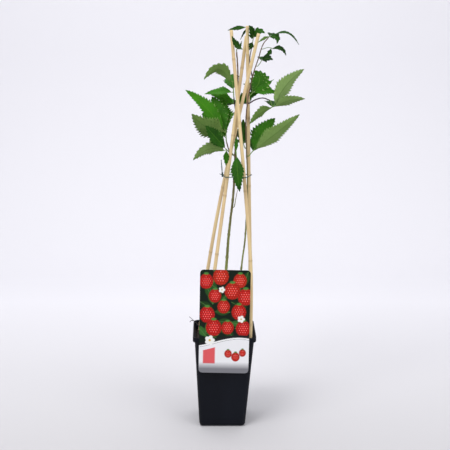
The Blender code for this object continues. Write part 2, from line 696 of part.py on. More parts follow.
    # Young leaves on the shoots at the top
    joint = (29, -3, 716)
    make_foliage(
        "leaves_top_left",
        tapered([*after(main_stem), (28, 2, 716.5), (38, -10, 716)], 0.9, 0.8, 6),
        [
            Leaflet((37, -9, 716), (-19, -20, 23), 15, (0.3, -0.9, 0.4), (-2, 0, -3)),
            Leaflet((32, -3, 716.3), (4, 1, 14), 4, (0, -0.9, 0.3)),
        ],
        leaf_young,
        10,
    )
    make_foliage(
        "leaves_top_centre",
        tapered([*after(top_bough), (57, 4.5, 733), (58, 5, 743), (52, 9.5, 753), (45, 10, 756)], 0.8, 0.7, 8),
        [
            Leaflet((57.5, 4.5, 738), (-8, -14, 20), 14, (0.2, -0.9, 0.4), (0, -2, 2)),
            Leaflet((57.5, 4.5, 738), (20, -10, 7), 18, (0.2, -0.9, 0.5), (0, 0, 5)),
            Leaflet((57.5, 4.5, 736), (-9, -13, 5), 9, (0, -0.9, 0.4)),
            Leaflet((56.2, 5.5, 729), (-6, -12, -14), 11, (0.3, -0.9, 0.2)),
            Leaflet((46, 10, 756), (-35, -4, -6), 9, (0, -0.9, 0.4), (0, 0, 1)),
            Leaflet((47, 10, 755.5), (-13, 5, -22), 4, (0, -0.9, 0.4), (0, 0, 1)),
            Leaflet((57.5, 4.5, 737), (4, 26, 4), 15, (0, -0.3, 0.9), (0, 0, 2)),
        ],
        leaf_young,
        11,
    )
    make_foliage(
        "leaves_top_right",
        tapered([*after(second_stem), (87.4, -4.5, 739.6)], 0.8, 0.7, 6),
        [
            Leaflet((87.2, -3.4, 739.4), (52, -13, -15), 9, (0, -0.5, 0.9), (2, 0, 14)),
            Leaflet((87.2, -4.2, 739.2), (13, -8, -13), 15, (0.3, -0.9, 0.4), (5, 0, 5)),
            Leaflet((87.2, -4.4, 739.4), (-21, -12, -11), 7, (0, 0.8, 0.5), (0, 0, 1)),
            Leaflet((87.2, -3.4, 739.4), (6, 27, 4), 14, (0, -0.3, 0.9), (0, 0, 3)),
        ],
        leaf_young,
        12,
    )
    make_foliage(
        "leaves_top_fork",
        tapered([*beside(second_stem, 717, (1, 0.4, 0)), (84, 4, 719), (92, 6, 718)], 0.7, 0.6, 6),
        [
            Leaflet((91, 5.8, 718), (27, 4, -13), 12, (0, -0.7, 0.7), (3, 0, 6)),
            Leaflet((91, 5.8, 718), (-13, 0, -17), 9, (0, -0.9, 0.4), (3, 0, 0)),
        ],
        leaf_young,
        13,
    )
    make_foliage(
        "leaves_top_side",
        tapered([*beside(second_stem, 686, (1, 0.3, 0)), (71, 3, 692), (73, 2, 697)], 0.8, 0.7, 5),
        [
            Leaflet((72.8, 2, 696), (20, -10, 1), 16, (0, -0.9, 0.4), (0, 0, 3)),
            Leaflet((72.8, 2, 696), (-2, 24, 6), 13, (0, -0.3, 0.9), (0, 0, 2)),
        ],
        leaf_young,
        14,
    )


main()
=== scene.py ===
"""Potted loganberry, dressed: fine leaves, bark, bamboo, soil, pot and printed label."""

import logging
import math
import random
from dataclasses import dataclass, field
from enum import Enum
from typing import Any, Sequence

import bpy
import numpy as np
from mathutils import Matrix, Vector, noise


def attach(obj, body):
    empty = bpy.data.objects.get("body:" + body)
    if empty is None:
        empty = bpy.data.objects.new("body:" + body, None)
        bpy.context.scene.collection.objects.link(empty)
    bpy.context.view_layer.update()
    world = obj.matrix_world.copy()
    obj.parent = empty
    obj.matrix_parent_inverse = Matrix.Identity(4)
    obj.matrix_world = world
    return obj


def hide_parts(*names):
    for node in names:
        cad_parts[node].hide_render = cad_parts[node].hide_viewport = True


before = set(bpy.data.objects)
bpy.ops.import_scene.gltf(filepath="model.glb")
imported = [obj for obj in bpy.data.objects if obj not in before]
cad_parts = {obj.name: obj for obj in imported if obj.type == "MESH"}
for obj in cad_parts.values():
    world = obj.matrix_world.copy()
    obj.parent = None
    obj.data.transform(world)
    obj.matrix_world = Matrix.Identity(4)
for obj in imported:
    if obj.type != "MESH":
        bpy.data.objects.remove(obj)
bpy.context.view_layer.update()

LOG = logging.getLogger("loganberry")
MM = 0.001
UP = Vector((0, 0, 1))
GAP = 0.3
SOIL_TOP = 170.0
GROUND = SOIL_TOP + GAP
BARK_GRAIN = 0.35
Triple = tuple[float, float, float]


class Slot(Enum):
    """The record's material slots."""

    POT = "pot_plastic"
    SOIL = "compost"
    CARD = "printed_card"
    BAMBOO = "bamboo"
    WIRE = "coated_wire"
    BARK = "green_bark"
    SHOOT = "purple_bark"
    DRY = "dry_wood"
    LEAF = "leaves"


# Shader nodes


class Socket:
    """A shader socket that turns arithmetic on values into Math nodes."""

    def __init__(self, shader: "Shader", out: Any) -> None:
        """Wrap one output of the shader's tree."""
        self.shader = shader
        self.out = out

    def math(self, kind: str, first: Any, second: Any = 0.0) -> "Socket":
        """One Math node of a kind on two values or sockets."""
        return self.shader.node("ShaderNodeMath", {"operation": kind}, {0: first, 1: second})

    def __add__(self, other: Any) -> "Socket":
        """Sum."""
        return self.math("ADD", self, other)

    def __radd__(self, other: Any) -> "Socket":
        """Reflected sum."""
        return self.math("ADD", other, self)

    def __sub__(self, other: Any) -> "Socket":
        """Difference."""
        return self.math("SUBTRACT", self, other)

    def __rsub__(self, other: Any) -> "Socket":
        """Reflected difference."""
        return self.math("SUBTRACT", other, self)

    def __mul__(self, other: Any) -> "Socket":
        """Product."""
        return self.math("MULTIPLY", self, other)

    def __rmul__(self, other: Any) -> "Socket":
        """Reflected product."""
        return self.math("MULTIPLY", other, self)

    def abs(self) -> "Socket":
        """The value without its sign."""
        return self.math("ABSOLUTE", self)

    def wave(self) -> "Socket":
        """Cosine of the value, counted in whole turns."""
        return self.math("COSINE", self * (2 * math.pi))

    def larger(self, other: Any) -> "Socket":
        """The larger of two values."""
        return self.math("MAXIMUM", self, other)

    def between(self, low: float, high: float) -> "Socket":
        """The value's place from low to high, held within 0 and 1."""
        values = {"Value": self, "From Min": low, "From Max": high}
        return self.shader.node("ShaderNodeMapRange", {"clamp": True}, values)


class Shader:
    """A material's node tree with one Principled BSDF."""

    def __init__(self, name: str) -> None:
        """Start a material.

        Args:
            name: The material's name.
        """
        self.material = bpy.data.materials.new(name)
        self.material.use_nodes = True
        self.tree = self.material.node_tree
        self.bsdf = self.tree.nodes["Principled BSDF"]

    def node(self, kind: str, settings: dict[str, Any], values: dict[Any, Any], out: Any = 0) -> Socket:
        """Add a node.

        Args:
            kind: The node's type.
            settings: Its properties, set first.
            values: A value, colour or socket for each input that is fed.
            out: Which output to return.

        Returns:
            The chosen output.
        """
        made = self.tree.nodes.new(kind)
        for key, value in settings.items():
            setattr(made, key, value)
        for key, value in values.items():
            self.feed(made.inputs[key], value)
        return Socket(self, made.outputs[out])

    def feed(self, target: Any, value: Any) -> None:
        """Link a socket or set a constant.

        Args:
            target: The input socket.
            value: A Socket or a constant.
        """
        if isinstance(value, Socket):
            self.tree.links.new(value.out, target)
        elif isinstance(value, tuple) and len(value) == 3 and target.type == "RGBA":
            target.default_value = (*value, 1.0)
        else:
            target.default_value = value

    def mix(self, factor: Any, first: Any, second: Any) -> Socket:
        """The first colour at factor 0, the second at 1."""
        return self.node("ShaderNodeMix", {"data_type": "RGBA"}, {0: factor, 6: first, 7: second}, 2)

    def coordinates(self, stretch: Triple = (1, 1, 1)) -> Socket:
        """Object coordinates in metres, stretched along each axis."""
        there = self.node("ShaderNodeTexCoord", {}, {}, "Object")
        return self.node("ShaderNodeMapping", {}, {"Vector": there, "Scale": stretch})

    def split(self, vector: Socket) -> list[Socket]:
        """The three parts of a vector."""
        first = self.node("ShaderNodeSeparateXYZ", {}, {0: vector})
        return [Socket(self, out) for out in first.out.node.outputs]

    def noise(self, scale: float, detail: float = 3.0, stretch: Triple = (1, 1, 1)) -> Socket:
        """Noise about 0.5, with so many cells to a metre and so many octaves."""
        values = {"Vector": self.coordinates(stretch), "Scale": scale, "Detail": detail}
        return self.node("ShaderNodeTexNoise", {}, values)

    def attribute(self, name: str, out: str = "Fac") -> Socket:
        """A mesh attribute."""
        return self.node("ShaderNodeAttribute", {"attribute_name": name}, {}, out)

    def bump(self, height: Socket, distance: float, strength: float) -> None:
        """Drive the normal from a height, so many metres deep."""
        values = {"Height": height, "Distance": distance, "Strength": strength}
        self.feed(self.bsdf.inputs["Normal"], self.node("ShaderNodeBump", {}, values))

    def finish(self, **sockets: Any) -> bpy.types.Material:
        """Set the surface's sockets.

        Args:
            sockets: Values by socket name, with underscores for spaces.

        Returns:
            The material.
        """
        for name, value in sockets.items():
            self.feed(self.bsdf.inputs[name.replace("_", " ")], value)
        return self.material


@dataclass(frozen=True)
class LeafFinish:
    """Leaves: green upper side with lighter veins, pale felted under side with darker ones."""

    name: str
    deep: Triple = (0.004, 0.030, 0.002)
    bright: Triple = (0.042, 0.200, 0.004)
    vein_over: Triple = (0.090, 0.230, 0.020)
    pale_deep: Triple = (0.130, 0.230, 0.050)
    pale: Triple = (0.240, 0.360, 0.120)
    vein_under: Triple = (0.060, 0.140, 0.020)
    veins: float = 9.0
    vein_slope: float = 0.30
    midrib: tuple[float, float] = (0.02, 0.07)
    gloss: float = 0.12

    def build(self) -> bpy.types.Material:
        """Make the material.

        Returns:
            The material.
        """
        shader = Shader(self.name)
        along, signed, under = shader.split(shader.attribute("blade", "Vector"))
        across = signed.abs()
        midrib = 1 - across.between(*self.midrib)
        lateral = ((along - across * self.vein_slope) * self.veins).wave().between(0.93, 1.0)
        vein = midrib.larger(lateral * 0.7)
        patch = shader.noise(55.0, 4.0)
        mottle = (patch * 0.6 + shader.attribute("tone") * 0.7 - 0.15).between(0.1, 0.9)
        upper = shader.mix(vein * 0.45, shader.mix(mottle, self.deep, self.bright), self.vein_over)
        lower = shader.mix(vein * 0.5, shader.mix(mottle, self.pale_deep, self.pale), self.vein_under)
        shader.bump(vein + shader.noise(900.0, 2.0) * 0.35, 0.0004, 0.6)
        return shader.finish(
            Base_Color=shader.mix(under, upper, lower),
            Roughness=0.50 + under * 0.26 + patch * 0.12,
            Specular_IOR_Level=self.gloss,
        )


FULL_LEAF = LeafFinish("leaf_dressed")
YOUNG_LEAF = LeafFinish("leaf_young_dressed", deep=(0.003, 0.020, 0.002), bright=(0.018, 0.085, 0.004))


@dataclass(frozen=True)
class BarkFinish:
    """Young bark: streaked and speckled, changing colour from foot to tip."""

    name: str
    low: Triple
    high: Triple
    dark: Triple
    relief: float = 0.0004

    def build(self) -> bpy.types.Material:
        """Make the material.

        Returns:
            The material.
        """
        shader = Shader(self.name)
        streak = shader.noise(260.0, 4.0, (1, 1, 0.12))
        speck = shader.noise(1200.0, 2.0)
        colour = shader.mix(shader.attribute("along").between(0.25, 0.75), self.low, self.high)
        colour = shader.mix(streak.between(0.45, 0.75), colour, self.dark)
        shader.bump(streak * 0.7 + speck * 0.3, self.relief, 0.7)
        return shader.finish(Base_Color=colour, Roughness=0.52 + streak * 0.25)


GREEN_BARK = BarkFinish(
    "bark_dressed", low=(0.22, 0.26, 0.06), high=(0.15, 0.085, 0.050), dark=(0.075, 0.060, 0.025)
)
PURPLE_BARK = BarkFinish(
    "shoot_dressed", low=(0.045, 0.022, 0.030), high=(0.030, 0.016, 0.022), dark=(0.010, 0.006, 0.008)
)
DRY_BARK = BarkFinish(
    "dry_dressed", low=(0.040, 0.032, 0.026), high=(0.030, 0.025, 0.021), dark=(0.010, 0.008, 0.007)
)


@dataclass(frozen=True)
class BambooFinish:
    """Pale bamboo with long fibres, darker at each joint."""

    straw: Triple = (0.72, 0.56, 0.30)
    tan: Triple = (0.64, 0.47, 0.26)
    fibre: Triple = (0.50, 0.33, 0.15)
    joint: Triple = (0.30, 0.19, 0.10)
    gloss: float = 0.3

    def build(self) -> bpy.types.Material:
        """Make the material.

        Returns:
            The material.
        """
        shader = Shader("bamboo_dressed")
        fibre = shader.noise(420.0, 5.0, (1, 1, 0.02))
        blotch = shader.noise(26.0, 3.0, (1, 1, 0.5))
        colour = shader.mix(blotch.between(0.35, 0.68), self.straw, self.tan)
        colour = shader.mix(fibre.between(0.50, 0.80) * 0.45, colour, self.fibre)
        colour = shader.mix(shader.attribute("joint") * 0.45, colour, self.joint)
        shader.bump(fibre, 0.0003, 0.5)
        return shader.finish(Base_Color=colour, Roughness=0.50 + fibre * 0.2, Specular_IOR_Level=self.gloss)


@dataclass(frozen=True)
class PotFinish:
    """Dark moulded plastic with a fine grain and faint scuffs."""

    dark: Triple = (0.0022, 0.0030, 0.0062)
    dusty: Triple = (0.0045, 0.0060, 0.0110)
    scuffed: Triple = (0.025, 0.029, 0.040)
    gloss: float = 0.14

    def build(self) -> bpy.types.Material:
        """Make the material.

        Returns:
            The material.
        """
        shader = Shader("pot_plastic_dressed")
        dust = shader.noise(14.0, 6.0, (1, 1, 0.35))
        grain = shader.noise(1600.0, 2.0)
        scuff = shader.noise(120.0, 5.0, (1, 1, 6)).between(0.62, 0.80)
        colour = shader.mix(dust.between(0.40, 0.75), self.dark, self.dusty)
        colour = shader.mix(scuff * 0.25, colour, self.scuffed)
        shader.bump(grain, 0.00012, 0.5)
        roughness = 0.40 + dust * 0.18 + scuff * 0.1
        return shader.finish(Base_Color=colour, Roughness=roughness, Specular_IOR_Level=self.gloss)


@dataclass(frozen=True)
class SoilFinish:
    """Dark crumbly potting soil with pale grit."""

    damp: Triple = (0.008, 0.005, 0.004)
    dry: Triple = (0.050, 0.032, 0.020)
    grit: Triple = (0.18, 0.13, 0.08)

    def build(self) -> bpy.types.Material:
        """Make the material.

        Returns:
            The material.
        """
        shader = Shader("soil_dressed")
        clod = shader.noise(180.0, 6.0)
        grit = shader.noise(900.0, 2.0).between(0.66, 0.72)
        colour = shader.mix(clod.between(0.35, 0.70), self.damp, self.dry)
        colour = shader.mix(grit * 0.6, colour, self.grit)
        shader.bump(clod, 0.0015, 0.9)
        return shader.finish(Base_Color=colour, Roughness=0.92)


@dataclass(frozen=True)
class CardFinish:
    """Smooth printed card whose print is a colour attribute."""

    gloss: float = 0.15

    def build(self) -> bpy.types.Material:
        """Make the material.

        Returns:
            The material.
        """
        shader = Shader("printed_card_dressed")
        ink = shader.attribute("print", "Color")
        roughness = 0.40 + shader.noise(40.0, 4.0) * 0.12
        return shader.finish(Base_Color=ink, Roughness=roughness, Specular_IOR_Level=self.gloss)


@dataclass(frozen=True)
class WireFinish:
    """Thin wire in a blue-green coat."""

    dark: Triple = (0.006, 0.030, 0.026)
    light: Triple = (0.020, 0.120, 0.095)

    def build(self) -> bpy.types.Material:
        """Make the material.

        Returns:
            The material.
        """
        shader = Shader("coated_wire_dressed")
        worn = shader.noise(300.0, 4.0)
        colour = shader.mix(worn.between(0.4, 0.7), self.dark, self.light)
        return shader.finish(Base_Color=colour, Roughness=0.35 + worn * 0.2)


# Meshes


@dataclass
class MeshBuffer:
    """Points and faces of one piece, gathered as arrays, in millimetres."""

    points: list[np.ndarray] = field(default_factory=list)
    faces: list[tuple[int, ...]] = field(default_factory=list)
    values: dict[str, list[np.ndarray]] = field(default_factory=dict)
    count: int = 0

    def loft(self, rings: np.ndarray, closed: bool = False, **values: np.ndarray) -> None:
        """Skin a run of equal rings that go counter-clockwise about it.

        Args:
            rings: Array of rings by points by 3.
            closed: True if the run closes on itself.
            values: Attribute values, one row for each point.
        """
        rows, around, _ = rings.shape
        base = self.count
        for row in range(rows if closed else rows - 1):
            low, high = base + row * around, base + ((row + 1) % rows) * around
            for i in range(around):
                j = (i + 1) % around
                self.faces.append((low + i, low + j, high + j, high + i))
        if not closed:
            self.faces.append(tuple(base + i for i in reversed(range(around))))
            self.faces.append(tuple(base + (rows - 1) * around + i for i in range(around)))
        self.points.append(rings.reshape(-1, 3))
        for name, value in values.items():
            self.values.setdefault(name, []).append(value.reshape(rows * around, -1))
        self.count += rows * around

    def build(self, name: str, material: bpy.types.Material) -> bpy.types.Object:
        """Make the object.

        Args:
            name: Its name.
            material: Its finish.

        Returns:
            The object, at the origin, shaded smooth.
        """
        mesh = bpy.data.meshes.new(name)
        mesh.from_pydata((np.concatenate(self.points) * MM).tolist(), [], self.faces)
        kinds = {1: ("FLOAT", "value"), 3: ("FLOAT_VECTOR", "vector"), 4: ("FLOAT_COLOR", "color")}
        for key, parts in self.values.items():
            data = np.concatenate(parts).astype(np.float32)
            kind, member = kinds[data.shape[1]]
            mesh.attributes.new(key, kind, "POINT").data.foreach_set(member, data.ravel())
        mesh.shade_smooth()
        mesh.materials.append(material)
        item = bpy.data.objects.new(name, mesh)
        bpy.context.scene.collection.objects.link(item)
        return item


def place(item: bpy.types.Object, slot: Slot, *nodes: str) -> None:
    """Give a piece to the part's one body.

    Args:
        item: The piece.
        slot: Its material slot; not used.
        nodes: The solids that it stands for.
    """
    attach(item, "root")
    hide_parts(*nodes)
    LOG.info("%s: %d faces", item.name, len(item.data.polygons))


def circle(sides: int) -> list[float]:
    """Angles evenly round a circle."""
    return [2 * math.pi * i / sides for i in range(sides)]


# Limbs


@dataclass
class Limb:
    """A line with a radius at each of its points."""

    path: list[Vector]
    radii: list[float]


def smooth_path(points: Sequence[Any], spacing: float) -> list[Vector]:
    """A smooth line through named points.

    Args:
        points: The points.
        spacing: The distance between stations, about.

    Returns:
        The stations.
    """
    spots = [Vector(point) for point in points]
    padded = [2 * spots[0] - spots[1], *spots, 2 * spots[-1] - spots[-2]]
    path = []
    for before, start, end, beyond in zip(padded, padded[1:], padded[2:], padded[3:]):
        steps = max(1, round((end - start).length / spacing))
        for step in range(steps):
            t = step / steps
            bend = (2 * before - 5 * start + 4 * end - beyond) * t * t
            twist = (3 * start - before - 3 * end + beyond) * t * t * t
            path.append(0.5 * (2 * start + (end - before) * t + bend + twist))
    return [*path, spots[-1]]


def tapered(
    points: Sequence[Any], first: float, last: float, spacing: float = 4.0, flare: float = 0.0
) -> Limb:
    """A limb through named points whose radius falls evenly.

    Args:
        points: The points.
        first: Radius at the foot.
        last: Radius at the tip.
        spacing: The distance between stations, about.
        flare: How much wider the very foot is.

    Returns:
        The limb.
    """
    flare_reach = 3.0
    path = smooth_path(points, spacing)
    runs = [0.0]
    for start, end in zip(path, path[1:]):
        runs.append(runs[-1] + (end - start).length)
    fall = (last - first) / runs[-1]
    return Limb(path, [first + fall * run + flare * math.exp(-run / flare_reach) for run in runs])


def frames(path: Sequence[Vector]) -> list[tuple[Vector, Vector]]:
    """Two directions across a path at each point.

    Args:
        path: The points.

    Returns:
        Side and across for each point.
    """
    last = len(path) - 1
    ways = [(path[min(i + 1, last)] - path[max(i - 1, 0)]).normalized() for i in range(last + 1)]
    side = ways[0].orthogonal().normalized()
    found = []
    for way in ways:
        side = (side - side.dot(way) * way).normalized()
        found.append((side, way.cross(side)))
    return found


def after(limb: Limb) -> list[Vector]:
    """The point just past a limb's tip, and one further on.

    Args:
        limb: The limb.

    Returns:
        Two points.
    """
    way = (limb.path[-1] - limb.path[-2]).normalized()
    start = limb.path[-1] + GAP * way
    return [start, start + 2 * way]


def at_height(limb: Limb, height: float) -> Vector:
    """Where a limb passes a height.

    Args:
        limb: The limb.
        height: The height.

    Returns:
        The point.
    """
    for low, high in zip(limb.path, limb.path[1:]):
        if low.z <= height <= high.z:
            return low.lerp(high, (height - low.z) / (high.z - low.z))
    return limb.path[-1].copy()


def beside(limb: Limb, height: float, toward: Triple) -> list[Vector]:
    """The point just outside a limb's side at a height, and one further out.

    Args:
        limb: The limb.
        height: The height.
        toward: The way out of it.

    Returns:
        Two points.
    """
    clear = 0.1
    i = min(range(len(limb.path) - 1), key=lambda k: abs(limb.path[k].z - height))
    way = (limb.path[i + 1] - limb.path[i]).normalized()
    out = Vector(toward)
    out = (out - out.dot(way) * way).normalized()
    start = at_height(limb, height) + (limb.radii[i] + clear) * out
    return [start, start + 2 * out]


def tube_rings(limb: Limb, sides: int, rough: float = 0.0, flat_foot: bool = False) -> np.ndarray:
    """The rings of a round limb.

    Args:
        limb: The limb.
        sides: Points round it.
        rough: Depth of its relief.
        flat_foot: Whether its foot is cut level.

    Returns:
        Array of rings by points by 3.
    """
    rings = []
    for point, radius, (side, across) in zip(limb.path, limb.radii, frames(limb.path)):
        ring = []
        for turn in circle(sides):
            out = math.cos(turn) * side + math.sin(turn) * across
            relief = rough * noise.noise((point + radius * out) * BARK_GRAIN) if rough else 0.0
            ring.append(point + (radius + relief) * out)
        rings.append(ring)
    if flat_foot:
        for spot in rings[0]:
            spot.z = limb.path[0].z
    return np.array([[tuple(spot) for spot in ring] for ring in rings])


# Leaves


@dataclass(frozen=True)
class Leaflet:
    """One leaf blade: its joint, reach and width, the way its upper side faces, and its bow."""

    joint: Any
    reach: Any
    width: float
    face: Any
    bow: Any = (0, 0, 0)


@dataclass(frozen=True)
class BladeRule:
    """How a blade grows: teeth, pleats and margin."""

    bare: float = 0.1
    widest: float = 0.38
    columns: int = 9
    tooth: tuple[float, ...] = (0.0, 0.55, 1.0)
    tooth_depth: float = 0.26
    tooth_length: float = 6.2
    tooth_lean: float = 0.35
    least_teeth: int = 4
    least_half: float = 0.3
    thick: float = 0.35
    lift: float = 0.22
    pleat: float = 0.030
    pleat_fall: float = 1.3
    rib: float = 1.6
    veins: float = 9.0
    vein_slope: float = 0.3
    sway: float = 0.05
    waves: float = 13.0
    offset: float = 2.0
    phases: float = 6.0
    end: float = 0.004

    def swell(self, t: float) -> float:
        """Half width at a place along the blade, as a share of the greatest.

        Args:
            t: 0 at the root, 1 at the tip.

        Returns:
            The share.
        """
        if t < self.widest:
            return (t / self.widest) ** 0.62
        return max((1 - t) / (1 - self.widest), 0.0) ** 0.74

    def add(self, buffer: MeshBuffer, leaflet: Leaflet, rng: random.Random) -> None:
        """Grow one blade.

        Args:
            buffer: The piece it goes into.
            leaflet: The blade's sizes.
            rng: Seeded draws.
        """
        reach, bow, face = Vector(leaflet.reach), Vector(leaflet.bow), Vector(leaflet.face)
        start, leafy = Vector(leaflet.joint) + self.bare * reach, (1 - self.bare) * reach
        tone, phase = rng.random(), rng.random() * self.phases
        stations = len(self.tooth) * max(self.least_teeth, round(reach.length / self.tooth_length))
        rings, blade = [], []
        for station in range(stations):
            t = self.end + (1 - 2 * self.end) * station / (stations - 1)
            centre = start + t * leafy + 4 * t * (1 - t) * bow
            way = (leafy + 4 * (1 - 2 * t) * bow).normalized()
            across = way.cross(face).normalized()
            out = across.cross(way)
            half = max(leaflet.width / 2 * self.swell(t), self.least_half)
            tooth = self.tooth[station % len(self.tooth)] - 0.5
            top, bottom, top_at, bottom_at = [], [], [], []
            for span in np.linspace(-1, 1, self.columns).tolist():
                size = abs(span)
                margin = tooth if size > 0.99 else 0.0
                ripple = math.cos(2 * math.pi * self.veins * (t - self.vein_slope * size))
                ripple *= self.pleat * leaflet.width * size * (self.pleat_fall - size)
                turn = self.waves * t + phase + (self.offset if span > 0 else 0)
                wave = self.sway * half * math.sin(turn) * size * size
                rise = self.lift * half * size + ripple + wave
                point = centre + half * span * (1 + self.tooth_depth * margin) * across
                point += rise * out + self.tooth_lean * self.tooth_length * margin * way
                skin = self.thick * (self.rib - size) / 2 * out
                top.append(tuple(point + skin))
                bottom.append(tuple(point - skin))
                top_at.append((t, span, 0.0))
                bottom_at.append((t, span, 1.0))
            rings.append(top + bottom[::-1])
            blade.append(top_at + bottom_at[::-1])
        tones = np.full(stations * 2 * self.columns, tone)
        buffer.loft(np.array(rings), blade=np.array(blade), tone=tones)


@dataclass
class Foliage:
    """One mass of leaves: a stem, a short stalk for each blade, and the blades."""

    node: str
    stem: Limb
    leaflets: list[Leaflet]
    finish: bpy.types.Material
    seed: int
    rule: BladeRule = BladeRule()
    stalk: float = 0.75
    small_stalk: float = 0.45
    small_leaf: float = 24.0
    stalk_end: float = 0.22
    stalk_bow: float = 0.4
    sides: int = 8

    def build(self) -> None:
        """Grow the mass."""
        rng = random.Random(self.seed)
        buffer = MeshBuffer()
        self.add_stalk(buffer, self.stem)
        for leaflet in self.leaflets:
            joint, reach, bow = Vector(leaflet.joint), Vector(leaflet.reach), Vector(leaflet.bow)
            thin = self.stalk if reach.length > self.small_leaf else self.small_stalk
            tip = joint + self.stalk_end * reach + self.stalk_bow * bow
            points = [joint, joint + self.rule.bare * reach, tip]
            self.add_stalk(buffer, tapered(points, thin, thin * 0.5, 3.0))
            self.rule.add(buffer, leaflet, rng)
        place(buffer.build("vis_" + self.node, self.finish), Slot.LEAF, self.node)

    def add_stalk(self, buffer: MeshBuffer, limb: Limb) -> None:
        """Add a stalk in the plain colour beside the midrib.

        Args:
            buffer: The piece it goes into.
            limb: The stalk.
        """
        spots = len(limb.path) * self.sides
        blade = np.tile((0.5, 0.5, 0.75), (spots, 1))
        buffer.loft(tube_rings(limb, self.sides), blade=blade, tone=np.full(spots, 0.5))


def spread_leaflets(
    joint: Any, aim: Any, face: Any, size: tuple[float, float], pairs: int, rng: random.Random
) -> list[Leaflet]:
    """The leaflets of one compound leaf, by one seeded rule.

    Args:
        joint: Where they join.
        aim: The way of the end leaflet.
        face: The way of the upper sides.
        size: Length and width of the end leaflet.
        pairs: Pairs beside it.
        rng: Seeded draws.

    Returns:
        The leaflets.
    """
    aim, face = Vector(aim).normalized(), Vector(face).normalized()
    side = aim.cross(face).normalized()
    length, width = size
    leaflets = [Leaflet(joint, aim * length, width, face, -0.10 * length * UP)]
    for pair in range(pairs):
        open_by = math.radians(58 + 30 * pair)
        for sign in (-1, 1):
            turned = math.cos(open_by) * aim + sign * math.sin(open_by) * side
            reach = length * (0.86 - 0.16 * pair) * (0.92 + 0.16 * rng.random())
            breadth = width * (0.8 - 0.12 * pair)
            leaflets.append(Leaflet(joint, turned * reach, breadth, face, -0.08 * reach * UP))
    return leaflets


